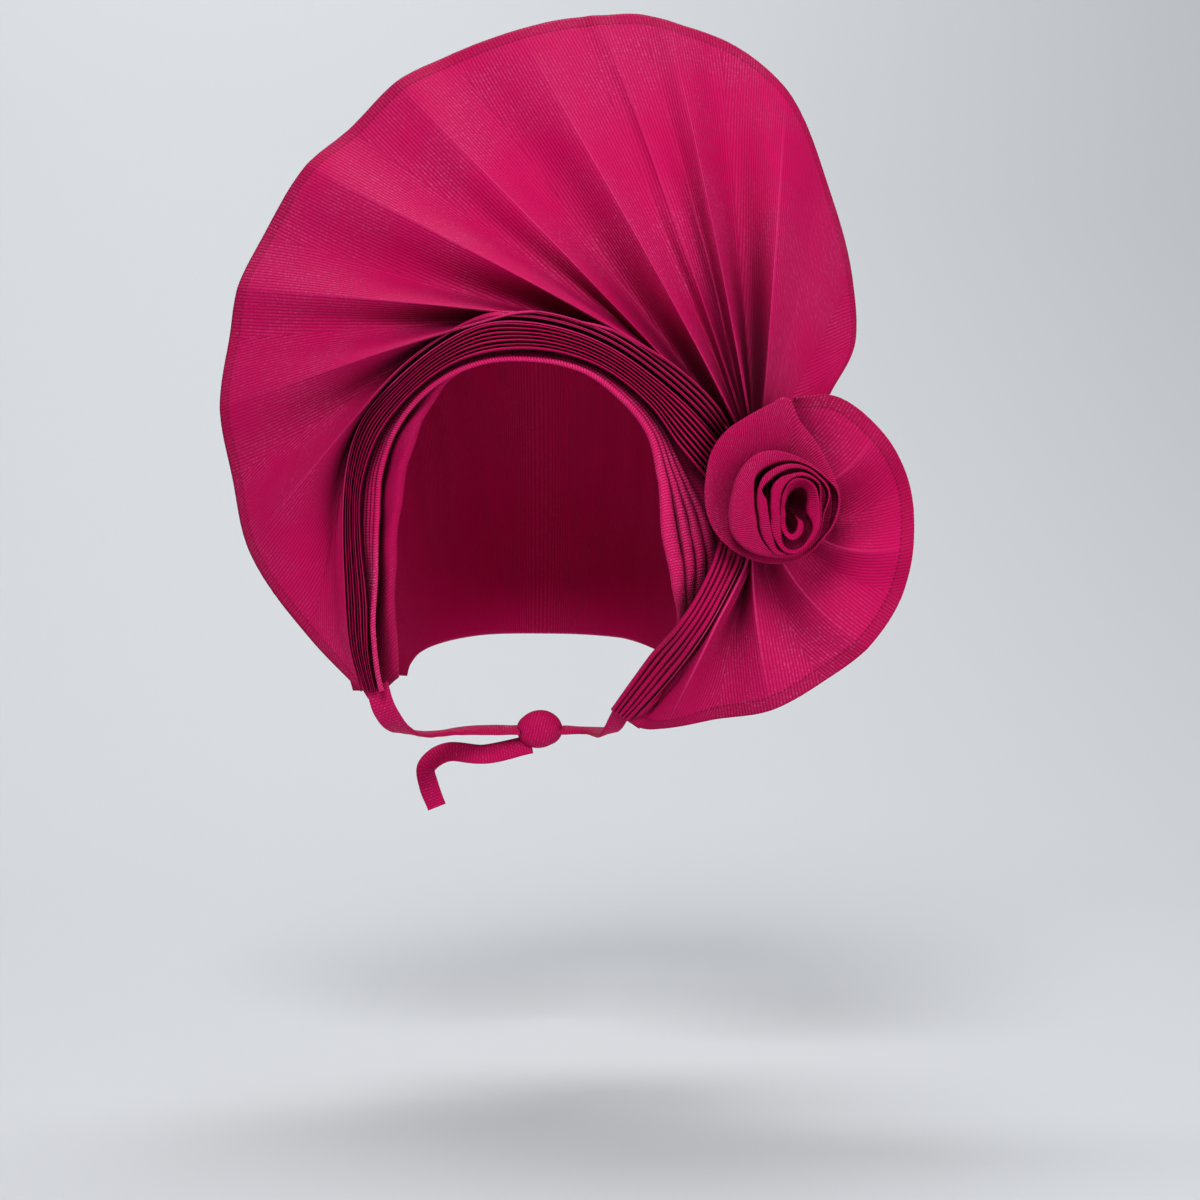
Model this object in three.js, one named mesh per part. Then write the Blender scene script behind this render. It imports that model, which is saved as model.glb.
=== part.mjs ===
import * as THREE from 'three';

// Tied gele head tie, in millimetres. The origin is the inside top of the cap at the crown,
// +X runs to the wearer's left, +Y to the back of the head and +Z up.

const DEGREE = Math.PI / 180;

// Cloth and clearances
const CLOTH = 1.4;
const CAP_WALL = 2;
const GAP = 0.4;
const WALL_MAX = 2.8;

// Size the wrap is tied for
const HEAD_BREADTH = 150;
const CROWN_RISE = 172;
const FACE_X = -5;
const FACE_DROP = 114;
const FACE_REACH = 80;
const BROW_FORWARD = 84;

// Brow rolls
const ROLL_PITCH = 2.3;
const ROLL_PUFF = 2.2;
const ROLL_SIDES = 7;
const ROLL_STEPS = 40;

// Pressed pleats
const BLADE_DEPTH = 7;
const BLADE_BASE = 1.5;
const BAND_BLADES = 6;
const CHEEK_BLADES = 4;
const CHEEK_RUN = 120;

// Gather at the wearer's left temple
const GATHER_REACH = 101.5;
const GATHER_TURN = 17.8;
const CORE_RADIUS = 10.5;
const CORE_FRONT = 60;
const CORE_LENGTH = 42;

// Fans
const FAN_REACH = 247;
const FAN_SWEEP = 20;
const FAN_FOLD = 20;
const FAN_BULGE = 22;
const SMALL_REACH = 122;
const SMALL_FOLD = 12;
const FAN_FORWARD = 50;
const LANE_PITCH = 1.15;
const HEM = 6;

// Rosette
const ROSE_REACH = 34;
const ROSE_RISE = 24;
const ROSE_WALL = 1.6;

// Nape straps
const STRAP_WIDTH = 11;
const STRAP_WALL = 2.2;
const NAPE_BACK = 50;
const NAPE_DROP = 200;
const TAIL_LENGTH = 26;
const KNOT = { width: 22, depth: 14, height: 18 };

function table(names, rows) {
  const columns = names.split(' ');
  return rows.map((row) => Object.fromEntries(columns.map((name, i) => [name, row[i]])));
}

// Face ring, from the left cheek over the brow to the right cheek: turn about the face centre,
// reach, forward, roll pitch and puff as shares, lean of the roll stack and of the skull
const RING = table('turn reach forward pitch puff lean skull', [
  [225, 1.160, 0.10, 0.95, 1.0, 86, 88],
  [211, 1.005, 0.17, 0.95, 1.0, 86, 86],
  [192, 0.892, 0.22, 0.95, 1.0, 86, 84],
  [170, 0.872, 0.30, 0.95, 1.0, 85, 80],
  [151, 0.925, 0.44, 0.95, 1.0, 82, 74],
  [135, 0.968, 0.61, 0.95, 1.0, 76, 65],
  [118, 0.990, 0.81, 0.98, 1.0, 62, 66],
  [103, 0.998, 0.95, 1.00, 1.0, 57, 64],
  [87, 0.991, 1.00, 1.00, 1.0, 56, 64],
  [71, 0.991, 0.98, 1.00, 1.0, 56, 64],
  [56, 0.960, 0.91, 1.00, 1.1, 55, 68],
  [41, 0.925, 0.80, 1.10, 1.3, 50, 72],
  [26, 0.858, 0.72, 1.60, 1.6, 42, 70],
  [6, 0.825, 0.65, 2.50, 2.0, 30, 63],
  [-12, 0.885, 0.55, 2.30, 1.9, 28, 66],
  [-25, 0.975, 0.40, 0.95, 1.2, 40, 70],
]);

// Rolls: place in the stack and width, both as shares of the pitch
const ROLLS = table('place width', [
  [-0.25, 1.30],
  [1, 0.86],
  [2, 0.86],
  [3, 0.86],
]);

// Pleat band after its end at the gather: turn and reach of its inner and outer edge, and
// how far forward their tips lie
const BAND = table('turnIn reachIn turnOut reachOut forwardIn forwardOut', [
  [31.8, 1.010, 38.6, 1.170, 0.78, 0.74],
  [46.3, 1.020, 50.8, 1.145, 0.88, 0.82],
  [60.9, 1.045, 63.8, 1.150, 0.98, 0.92],
  [74.2, 1.072, 75.5, 1.160, 1.05, 0.98],
  [87.3, 1.072, 87.6, 1.175, 1.07, 1.00],
  [101.9, 1.072, 99.5, 1.190, 1.02, 0.95],
  [114.8, 1.060, 112.8, 1.155, 0.90, 0.83],
  [129.3, 1.035, 126.9, 1.130, 0.73, 0.66],
  [143.9, 1.010, 141.5, 1.130, 0.57, 0.51],
  [160.3, 0.965, 154.9, 1.085, 0.41, 0.37],
  [177.5, 0.925, 171.4, 1.030, 0.30, 0.26],
  [198.9, 0.948, 193.6, 1.040, 0.23, 0.19],
  [214.0, 1.075, 209.8, 1.145, 0.17, 0.12],
  [223.8, 1.190, 221.6, 1.240, 0.10, 0.07],
]);

// Cheek pleats after their end at the gather, about the gather, reach as shares of their run
const CHEEK = table('turnIn reachIn turnOut reachOut forward', [
  [251.5, 0.29, 269.0, 0.28, 0.64],
  [250.0, 0.45, 260.5, 0.45, 0.64],
  [247.0, 0.59, 254.5, 0.63, 0.58],
  [243.5, 0.75, 249.5, 0.83, 0.33],
  [241.5, 1.00, 245.7, 1.01, 0.06],
]);

// Creases of the large fan from the left cheek round to the lobe: turn and reach of the rim about
// the gather, rim depth behind the crown, share of the band that the crease follows before it
// leaves, fold (0 on a ridge, 1 in a full valley) and how far it swells forward over the head
const FAN = table('turn reach back leave fold swell', [
  [210.6, 0.785, -0.10, 1.00, 0.0, 0],
  [200.5, 0.848, 0.00, 0.73, 0.6, 0],
  [187.9, 0.918, 0.00, 0.58, 0.0, 0],
  [179.9, 0.942, 0.05, 0.50, 0.9, 0],
  [172.0, 0.972, 0.10, 0.37, 0.0, 0],
  [164.4, 0.986, 0.15, 0.31, 0.8, 0.1],
  [158.9, 0.999, 0.20, 0.25, 0.0, 0.25],
  [152.4, 1.000, 0.25, 0.20, 0.9, 0.4],
  [143.7, 0.998, 0.30, 0.13, 0.0, 0.6],
  [137.5, 0.983, 0.35, 0.08, 0.9, 0.75],
  [130.4, 0.983, 0.40, 0.04, 0.0, 0.9],
  [123.7, 0.968, 0.45, 0.00, 0.8, 1],
  [115.6, 0.942, 0.50, 0.00, 0.0, 1],
  [108.9, 0.926, 0.55, 0.00, 0.5, 1],
  [106.1, 0.916, 0.60, 0.00, 0.3, 1],
  [101.4, 0.901, 0.60, 0.00, 0.6, 1],
  [98.2, 0.877, 0.60, 0.00, 0.0, 0.9],
  [91.8, 0.831, 0.65, 0.00, 1.2, 0.8],
  [82.2, 0.728, 0.35, 0.00, 0.0, 0.6],
  [72.1, 0.568, 0.35, 0.00, 0.25, 0.4],
  [60.0, 0.440, 0.30, 0.00, 0.35, 0.2],
  [49.5, 0.345, 0.10, 0.00, 0.2, 0],
  [42.6, 0.230, -0.90, 0.00, 0.0, 0],
]);

// Creases of the small fan from the right cheek round to its top edge, in the same columns
const SMALL_FAN = table('turn reach back leave fold swell', [
  [246.6, 1.010, -0.10, 1.00, 0.0, 0],
  [249.6, 0.995, -0.50, 0.80, 0.6, 0],
  [253.6, 0.965, -0.90, 0.50, 0.0, 0],
  [264.2, 0.895, -1.50, 0.22, 0.8, 0],
  [277.4, 0.858, -2.10, 0.05, 0.0, 0],
  [291.6, 0.803, -2.40, 0.00, 0.9, 0],
  [305.8, 0.770, -2.60, 0.00, 0.0, 0],
  [323.0, 0.720, -2.70, 0.00, 0.9, 0],
  [337.4, 0.662, -2.80, 0.00, 0.0, 0],
  [359.0, 0.596, -2.80, 0.00, 0.9, 0],
  [378.8, 0.513, -2.90, 0.00, 0.0, 0],
  [401.6, 0.425, -3.00, 0.00, 0.3, 0],
  [416.2, 0.330, -3.00, 0.00, 0.0, 0],
]);

// Depth of the folds along a crease, from where it leaves the pleats to the rim
const FOLD_GROWTH = table('depth', [[0.16], [0.20], [0.50], [0.80], [0.80], [0.60], [0.40]]);

// Arches of the cap behind the brow: tilt back from the brow, height, place of the ends behind
// the crown and half breadth, as shares of the crown's rise and of half the head's breadth
const ARCHES = table('tilt height ends half', [
  [60, 0.950, 0.07, 0.92],
  [72, 0.975, 0.09, 0.96],
  [85, 1.000, 0.11, 1.00],
  [100, 0.965, 0.12, 1.00],
  [113, 0.860, 0.13, 1.00],
  [128, 0.680, 0.14, 0.98],
  [143, 0.460, 0.15, 0.93],
  [158, 0.290, 0.16, 0.86],
]);

// Rosette strip, a row for each half turn: place between heart and collar, reach of its root and
// of its free edge, and how far forward the free edge stands
const ROSE = table('collar root edge rise', [
  [0.00, 0.05, 0.09, 0.80],
  [0.05, 0.13, 0.18, 0.95],
  [0.10, 0.22, 0.28, 1.00],
  [0.25, 0.30, 0.38, 1.00],
  [0.45, 0.38, 0.48, 0.95],
  [0.65, 0.46, 0.60, 0.85],
  [0.85, 0.54, 0.76, 0.65],
  [1.00, 0.60, 0.96, 0.35],
  [1.00, 0.68, 1.02, 0.25],
]);

// Small helpers

function lerp(a, b, share) {
  return a + (b - a) * share;
}

function catmullRom(a, b, c, d, u) {
  const tangentB = (c - a) / 2;
  const tangentC = (d - b) / 2;
  const cubic = 2 * b - 2 * c + tangentB + tangentC;
  const square = 3 * c - 3 * b - 2 * tangentB - tangentC;
  return ((cubic * u + square) * u + tangentB) * u + b;
}

// Row of a table at a share of its length, on a smooth curve through every row
function sampleTable(rows, share) {
  const last = rows.length - 1;
  const place = Math.min(Math.max(share, 0), 1) * last;
  const index = Math.min(Math.floor(place), last - 1);
  const row = {};
  for (const name of Object.keys(rows[0])) {
    const at = (i) => {
      if (i < 0) return 2 * rows[0][name] - rows[1][name];
      if (i > last) return 2 * rows[last][name] - rows[last - 1][name];
      return rows[i][name];
    };
    row[name] = catmullRom(at(index - 1), at(index), at(index + 1), at(index + 2), place - index);
  }
  return row;
}

function polarPoint(centre, turn, reach, y) {
  const angle = turn * DEGREE;
  return new THREE.Vector3(
    centre.x + reach * Math.cos(angle),
    y,
    centre.z + reach * Math.sin(angle),
  );
}

const FACE = new THREE.Vector3(FACE_X, 0, -FACE_DROP);
const GATHER = polarPoint(FACE, GATHER_TURN, GATHER_REACH, 0);

function facePoint(turn, reach, forward) {
  return polarPoint(FACE, turn, FACE_REACH * reach, -BROW_FORWARD * forward);
}

// Unit direction in the front plane, square to a path and to its left as it runs
function outwardOf(pathPoint, share) {
  const step = 0.004;
  const before = pathPoint(Math.max(share - step, 0));
  const after = pathPoint(Math.min(share + step, 1));
  const length = Math.hypot(after.x - before.x, after.z - before.z);
  return new THREE.Vector3(-(after.z - before.z) / length, 0, (after.x - before.x) / length);
}

// Closed solids

function solidVolume(points, faces) {
  let volume = 0;
  const normal = new THREE.Vector3();
  for (const [a, b, c] of faces) {
    volume += points[a].dot(normal.crossVectors(points[b], points[c])) / 6;
  }
  return volume;
}

function closedSolid(points, faces) {
  const outward = solidVolume(points, faces) > 0 ? faces : faces.map(([a, b, c]) => [a, c, b]);
  const geometry = new THREE.BufferGeometry();
  const numbers = points.flatMap((point) => [point.x, point.y, point.z]);
  geometry.setAttribute('position', new THREE.Float32BufferAttribute(numbers, 3));
  geometry.setIndex(outward.flat());
  geometry.computeVertexNormals();
  return geometry;
}

// Wall between two grids of points, closed along all four edges
function sheetSolid(front, back) {
  const rows = front.length;
  const columns = front[0].length;
  const points = [...front.flat(), ...back.flat()];
  const frontAt = (i, j) => i * columns + j;
  const backAt = (i, j) => rows * columns + i * columns + j;
  const faces = [];
  const quad = (a, b, c, d) => faces.push([a, b, c], [a, c, d]);
  for (let i = 0; i + 1 < rows; i += 1) {
    for (let j = 0; j + 1 < columns; j += 1) {
      quad(frontAt(i, j), frontAt(i, j + 1), frontAt(i + 1, j + 1), frontAt(i + 1, j));
      quad(backAt(i, j), backAt(i + 1, j), backAt(i + 1, j + 1), backAt(i, j + 1));
    }
  }
  const lastRow = rows - 1;
  const lastColumn = columns - 1;
  for (let j = 0; j < lastColumn; j += 1) {
    quad(frontAt(0, j), backAt(0, j), backAt(0, j + 1), frontAt(0, j + 1));
    quad(frontAt(lastRow, j), frontAt(lastRow, j + 1), backAt(lastRow, j + 1), backAt(lastRow, j));
  }
  for (let i = 0; i < lastRow; i += 1) {
    quad(frontAt(i, 0), frontAt(i + 1, 0), backAt(i + 1, 0), backAt(i, 0));
    quad(frontAt(i, lastColumn), backAt(i, lastColumn), backAt(i + 1, lastColumn), frontAt(i + 1, lastColumn));
  }
  return closedSolid(points, faces);
}

// Solid through closed sections of equal count; the outline gives the caps their triangles
function sweptSolid(sections, outline) {
  const count = sections[0].length;
  const points = sections.flat();
  const faces = [];
  for (let i = 0; i + 1 < sections.length; i += 1) {
    for (let j = 0; j < count; j += 1) {
      const next = (j + 1) % count;
      const a = i * count + j;
      const b = i * count + next;
      faces.push([a, b, b + count], [a, b + count, a + count]);
    }
  }
  const cap = THREE.ShapeUtils.triangulateShape(outline, []);
  const end = (sections.length - 1) * count;
  const turned = THREE.ShapeUtils.area(outline) > 0;
  for (const [a, b, c] of cap) {
    const near = turned ? [a, c, b] : [a, b, c];
    faces.push(near, [end + near[0], end + near[2], end + near[1]]);
  }
  return closedSolid(points, faces);
}

// Face ring stations

function ringPoint(share) {
  const row = sampleTable(RING, share);
  return facePoint(row.turn, row.reach, row.forward);
}

function ringStation(share) {
  const row = sampleTable(RING, share);
  return {
    centre: ringPoint(share),
    outward: outwardOf(ringPoint, share),
    pitch: ROLL_PITCH * row.pitch,
    puff: ROLL_PUFF * row.puff,
    lean: row.lean * DEGREE,
    skull: row.skull * DEGREE,
  };
}

function stationPoint(station, outward, back) {
  return station.centre.clone()
    .addScaledVector(station.outward, outward)
    .add(new THREE.Vector3(0, back, 0));
}

// Brow rolls

function rollSection(station, roll) {
  const along = station.pitch * roll.width / 2;
  const across = station.puff * Math.min(roll.width, 1.1) / 2;
  const place = station.pitch * roll.place;
  const points = [];
  for (let k = 0; k < ROLL_SIDES; k += 1) {
    const angle = 2 * Math.PI * k / ROLL_SIDES;
    const a = place + along * Math.cos(angle);
    const b = across * Math.sin(angle);
    const outward = a * Math.cos(station.lean) + b * Math.sin(station.lean);
    const back = a * Math.sin(station.lean) - b * Math.cos(station.lean);
    points.push(stationPoint(station, outward, back));
  }
  return points;
}

function browRoll(roll) {
  const sections = [];
  for (let i = 0; i <= ROLL_STEPS; i += 1) {
    sections.push(rollSection(ringStation(i / ROLL_STEPS), roll));
  }
  const outline = [];
  for (let k = 0; k < ROLL_SIDES; k += 1) {
    const angle = 2 * Math.PI * k / ROLL_SIDES;
    outline.push(new THREE.Vector2(Math.cos(angle), Math.sin(angle)));
  }
  return sweptSolid(sections, outline);
}

// Cap

const CAP_ROWS = 14;
const CAP_COLUMNS = 28;
const CAP_TAPER = 0.06;

function capFrontPoint(station, depth) {
  const rollBack = station.pitch * 3 * Math.sin(station.lean) + station.puff / 2 + 4 * GAP;
  return stationPoint(
    station,
    1 + depth * Math.cos(station.skull),
    rollBack + depth * Math.sin(station.skull),
  );
}

function archPoint(arch, share) {
  const angle = Math.PI * share;
  const rise = Math.pow(Math.sin(angle), 0.87);
  const side = Math.sign(-Math.cos(angle)) * Math.pow(Math.abs(Math.cos(angle)), 0.75);
  const tilt = arch.tilt * DEGREE;
  const height = CROWN_RISE * arch.height * rise;
  const half = HEAD_BREADTH / 2 * arch.half * (1 - CAP_TAPER * (1 - rise));
  return new THREE.Vector3(
    side * half,
    CROWN_RISE * arch.ends - height * Math.cos(tilt),
    height * Math.sin(tilt) - CROWN_RISE,
  );
}

function smoothRow(points, place) {
  const last = points.length - 1;
  const index = Math.min(Math.floor(place), last - 1);
  const at = (i) => points[Math.min(Math.max(i, 0), last)];
  const [a, b, c, d] = [at(index - 1), at(index), at(index + 1), at(index + 2)];
  const u = place - index;
  return new THREE.Vector3(
    catmullRom(a.x, b.x, c.x, d.x, u),
    catmullRom(a.y, b.y, c.y, d.y, u),
    catmullRom(a.z, b.z, c.z, d.z, u),
  );
}

// Point of the cap's inner face: share from left to right and from the brow to the nape
function capPoint(side, back) {
  const station = ringStation(side);
  const keys = [capFrontPoint(station, 0), capFrontPoint(station, 12)];
  for (const arch of ARCHES) {
    keys.push(archPoint(arch, side));
  }
  return smoothRow(keys, back * (keys.length - 1));
}

function gridNormals(grid) {
  const rows = grid.length;
  const columns = grid[0].length;
  return grid.map((line, i) => line.map((point, j) => {
    const down = grid[Math.min(i + 1, rows - 1)][j].clone().sub(grid[Math.max(i - 1, 0)][j]);
    const across = line[Math.min(j + 1, columns - 1)].clone().sub(line[Math.max(j - 1, 0)]);
    return across.cross(down).normalize();
  }));
}

function cap() {
  const inner = [];
  for (let i = 0; i < CAP_ROWS; i += 1) {
    const line = [];
    for (let j = 0; j < CAP_COLUMNS; j += 1) {
      line.push(capPoint(j / (CAP_COLUMNS - 1), i / (CAP_ROWS - 1)));
    }
    inner.push(line);
  }
  const normals = gridNormals(inner);
  const middle = normals[Math.floor(CAP_ROWS / 2)][Math.floor(CAP_COLUMNS / 2)];
  const facing = middle.z > 0 ? 1 : -1;
  const outer = inner.map((line, i) => line.map(
    (point, j) => point.clone().addScaledVector(normals[i][j], facing * CAP_WALL),
  ));
  return sheetSolid(outer, inner);
}

// Pressed pleats: a comb of blades between an inner and an outer edge

function combSection(inner, outer, blades, share) {
  const across = outer.clone().sub(inner);
  const at = (fraction, back) => inner.clone()
    .addScaledVector(across, fraction)
    .add(new THREE.Vector3(0, back, 0));
  const width = 0.62 / blades;
  const points = [];
  for (let k = 0; k < blades; k += 1) {
    const start = k * (1 - width) / (blades - 1);
    const tip = (k % 2) * 0.16 * BLADE_DEPTH * share;
    points.push(at(start, BLADE_DEPTH), at(start, tip), at(start + width, tip), at(start + width, BLADE_DEPTH));
  }
  points.push(at(1, BLADE_DEPTH + BLADE_BASE), at(0, BLADE_DEPTH + BLADE_BASE));
  return points;
}

function combSolid(edges, blades, steps) {
  const sections = [];
  for (let i = 0; i <= steps; i += 1) {
    const { inner, outer } = edges(i / steps);
    sections.push(combSection(inner, outer, blades, Math.min(1, i / 4)));
  }
  const flatInner = new THREE.Vector3(0, 0, 0);
  const flatOuter = new THREE.Vector3(BLADE_DEPTH, 0, 0);
  const flat = combSection(flatInner, flatOuter, blades, 1);
  return sweptSolid(sections, flat.map((point) => new THREE.Vector2(point.x, point.y)));
}

// Root of a pleat stack on the core: its flat end stays clear of the round core
function rootEdge(turnIn, turnOut, forward) {
  const halfSpan = Math.abs(turnOut - turnIn) / 2 * DEGREE;
  const reach = (CORE_RADIUS + GAP) / Math.cos(halfSpan);
  return {
    inner: polarPoint(GATHER, turnIn, reach, -FAN_FORWARD * forward),
    outer: polarPoint(GATHER, turnOut, reach, -FAN_FORWARD * forward),
  };
}

function edgesThrough(keys) {
  return (share) => {
    const place = share * (keys.length - 1);
    return {
      inner: smoothRow(keys.map((key) => key.inner), place),
      outer: smoothRow(keys.map((key) => key.outer), place),
    };
  };
}

const bandEdges = edgesThrough([
  rootEdge(203, 127, 1.10),
  ...BAND.map((row) => ({
    inner: facePoint(row.turnIn, row.reachIn, row.forwardIn),
    outer: facePoint(row.turnOut, row.reachOut, row.forwardOut),
  })),
]);

const cheekEdges = edgesThrough([
  rootEdge(240, 272, 1.05),
  ...CHEEK.map((row) => ({
    inner: polarPoint(GATHER, row.turnIn, CHEEK_RUN * row.reachIn, -BROW_FORWARD * row.forward),
    outer: polarPoint(GATHER, row.turnOut, CHEEK_RUN * row.reachOut, -BROW_FORWARD * row.forward),
  })),
]);

// Fans: folded sheets whose creases run from the core, along a pleat stack, to the rim

const LANE_STEPS = 24;
const FREE_STEPS = 12;
const CREASE_STEPS = 48;
const LANE_START = 0.05;

function pathLengths(points) {
  const lengths = [0];
  for (let i = 1; i < points.length; i += 1) {
    lengths.push(lengths[i - 1] + points[i].distanceTo(points[i - 1]));
  }
  return lengths;
}

function evenPath(points, steps) {
  const lengths = pathLengths(points);
  const total = lengths[lengths.length - 1];
  const even = [];
  let index = 0;
  for (let k = 0; k <= steps; k += 1) {
    const target = total * k / steps;
    while (index < points.length - 2 && lengths[index + 1] < target) index += 1;
    const span = lengths[index + 1] - lengths[index];
    even.push(points[index].clone().lerp(points[index + 1], (target - lengths[index]) / span));
  }
  return even;
}

function softenPath(points, passes) {
  let path = points;
  for (let pass = 0; pass < passes; pass += 1) {
    path = path.map((point, i) => {
      if (i === 0 || i === path.length - 1) return point;
      return point.clone().multiplyScalar(2).add(path[i - 1]).add(path[i + 1]).multiplyScalar(0.25);
    });
  }
  return path;
}

function creasePath(fan, row, index) {
  const rootTurn = lerp(fan.rootFrom, fan.rootTo, index / (fan.rows.length - 1));
  const points = [polarPoint(GATHER, rootTurn, CORE_RADIUS + GAP, -FAN_FORWARD * fan.rootForward)];
  const side = (share) => outwardOf((at) => fan.edges(at).outer, share).multiplyScalar(fan.side);
  for (let k = 0; k <= LANE_STEPS; k += 1) {
    const share = lerp(LANE_START, 1, k / LANE_STEPS);
    if (share > row.leave && !(row.leave === 1 && k === LANE_STEPS)) break;
    const lane = fan.laneGap + LANE_PITCH * index;
    const point = fan.edges(share).outer.addScaledVector(side(share), lane);
    point.y += fan.laneBack;
    points.push(point);
  }
  const alongPleats = pathLengths(points).pop();
  if (row.leave < 1) {
    const start = points[points.length - 1];
    const rim = polarPoint(GATHER, row.turn, fan.reach * row.reach, FAN_SWEEP * row.back);
    const bulge = fan.bulge * row.swell;
    for (let k = 1; k <= FREE_STEPS; k += 1) {
      const share = k / FREE_STEPS;
      const point = start.clone().lerp(rim, share);
      point.y = lerp(start.y, rim.y, Math.pow(share, 1.5));
      point.y -= bulge * Math.sin(Math.PI * Math.pow(share, 0.6));
      points.push(point);
    }
  }
  return {
    path: softenPath(evenPath(points, CREASE_STEPS), 3),
    bound: row.leave < 1 ? alongPleats / pathLengths(points).pop() : 1,
  };
}

function foldedFan(fan) {
  const creases = fan.rows.map((row, index) => creasePath(fan, row, index));
  const count = fan.rows.length;
  const at = (index, share) => {
    const { path } = creases[Math.min(Math.max(index, 0), count - 1)];
    const place = share * CREASE_STEPS;
    const step = Math.min(Math.floor(place), CREASE_STEPS - 1);
    return path[step].clone().lerp(path[step + 1], place - step);
  };
  // Between two creases the sheet runs on a curve that never swings past either of them
  const between = (index, u, share) => {
    const [a, b, c, d] = [at(index - 1, share), at(index, share), at(index + 1, share), at(index + 2, share)];
    const span = c.distanceTo(b);
    const tangent = (before, middle, after) => {
      const first = middle.clone().sub(before);
      const second = after.clone().sub(middle);
      const one = Math.max(first.length(), 1e-6);
      const two = Math.max(second.length(), 1e-6);
      const slope = first.multiplyScalar(two / one).add(second.multiplyScalar(one / two));
      return slope.multiplyScalar(span / (one + two));
    };
    const start = index > 0 ? tangent(a, b, c) : c.clone().sub(b);
    const end = index < count - 2 ? tangent(b, c, d) : c.clone().sub(b);
    const u2 = u * u;
    const u3 = u2 * u;
    return b.multiplyScalar(2 * u3 - 3 * u2 + 1)
      .add(start.multiplyScalar(u3 - 2 * u2 + u))
      .add(c.multiplyScalar(3 * u2 - 2 * u3))
      .add(end.multiplyScalar(u3 - u2));
  };
  // A fold is crisp on its ridge and round in its valley
  const foldAt = (index, u) => {
    const from = fan.rows[index].fold;
    const to = fan.rows[index + 1].fold;
    if (to > from) return lerp(from, to, Math.sin(Math.PI / 2 * u));
    return lerp(to, from, Math.sin(Math.PI / 2 * (1 - u)));
  };
  return (column, share) => {
    const index = Math.min(Math.floor(column), count - 2);
    const u = column - index;
    const point = between(index, u, share);
    const bound = lerp(creases[index].bound, creases[index + 1].bound, u);
    const free = Math.max(share - bound, 0) / Math.max(1 - bound, 0.01);
    point.y += fan.foldDepth * foldAt(index, u) * sampleTable(FOLD_GROWTH, free).depth;
    return point;
  };
}

// Wall thickness along Y that keeps the cloth's own thickness on a slope
function wallBehind(grid, i, j) {
  const line = grid[i];
  const before = line[Math.max(j - 1, 0)];
  const after = line[Math.min(j + 1, line.length - 1)];
  const middle = line[j];
  const slope = (a, b) => Math.abs(b.y - a.y) / Math.max(Math.hypot(b.x - a.x, b.z - a.z), 0.01);
  const steepest = Math.max(slope(before, middle), slope(middle, after));
  return Math.min(CLOTH * Math.hypot(1, steepest), WALL_MAX);
}

function fanSolid(fan) {
  const surface = foldedFan(fan);
  const hemShare = 1 - HEM / fan.reach;
  const front = [];
  for (const share of [...fan.shares, hemShare, 1]) {
    const line = [];
    for (let j = 0; j <= (fan.rows.length - 1) * 2; j += 1) {
      line.push(surface(j / 2, share));
    }
    front.push(line);
  }
  const back = front.map((line, i) => line.map((point, j) => {
    const behind = point.clone();
    behind.y += wallBehind(front, i, j);
    return behind;
  }));
  return sheetSolid(front, back);
}

const LARGE = {
  rows: FAN,
  edges: bandEdges,
  side: -1,
  reach: FAN_REACH,
  foldDepth: FAN_FOLD,
  bulge: FAN_BULGE,
  rootFrom: 117,
  rootTo: 36,
  rootForward: 0.85,
  laneGap: 3.2,
  laneBack: 0.5,
  shares: [0, 0.05, 0.11, 0.17, 0.23, 0.3, 0.37, 0.44, 0.52, 0.62, 0.74, 0.87],
};

const SMALL = {
  rows: SMALL_FAN,
  edges: cheekEdges,
  side: 1,
  reach: SMALL_REACH,
  foldDepth: SMALL_FOLD,
  bulge: 0,
  rootFrom: 280,
  rootTo: 420,
  rootForward: 1.0,
  laneGap: 1.4,
  laneBack: 1,
  shares: [0, 0.12, 0.26, 0.42, 0.6, 0.8],
};

// Rosette: one strip rolled from the heart out to the collar

const ROSE_HEART = { x: 19, z: -18.5 };
const ROSE_COLLAR = { x: 10.5, z: -4.5 };
const ROSE_STEPS = 18;
const ROSE_TURNS = (ROSE.length - 1) / 2;

function rosePoint(turns, height) {
  const row = sampleTable(ROSE, turns / ROSE_TURNS);
  const centreX = GATHER.x + lerp(ROSE_HEART.x, ROSE_COLLAR.x, row.collar);
  const centreZ = GATHER.z + lerp(ROSE_HEART.z, ROSE_COLLAR.z, row.collar);
  const flare = Math.pow(height, 1.6);
  const reach = ROSE_REACH * lerp(row.root, row.edge, flare);
  const angle = -2 * Math.PI * turns - 0.6;
  return new THREE.Vector3(
    centreX + reach * Math.cos(angle),
    -CORE_FRONT - GAP - ROSE_RISE * row.rise * height,
    centreZ + reach * Math.sin(angle),
  );
}

function rosette() {
  const outer = [];
  const steps = ROSE_STEPS * ROSE_TURNS;
  for (let i = 0; i <= 4; i += 1) {
    const line = [];
    for (let j = 0; j <= steps; j += 1) {
      line.push(rosePoint(ROSE_TURNS * j / steps, i / 4));
    }
    outer.push(line);
  }
  const normals = gridNormals(outer);
  const heart = new THREE.Vector3(GATHER.x + ROSE_COLLAR.x, 0, GATHER.z + ROSE_COLLAR.z);
  const lastLine = outer[2];
  const rim = lastLine[steps].clone().sub(heart);
  const facing = normals[2][steps].x * rim.x + normals[2][steps].z * rim.z > 0 ? -1 : 1;
  const inner = outer.map((line, i) => line.map((point, j) => {
    const inside = point.clone().addScaledVector(normals[i][j], facing * ROSE_WALL);
    inside.y = Math.min(inside.y, -CORE_FRONT - GAP);
    return inside;
  }));
  return sheetSolid(outer, inner);
}

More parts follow.
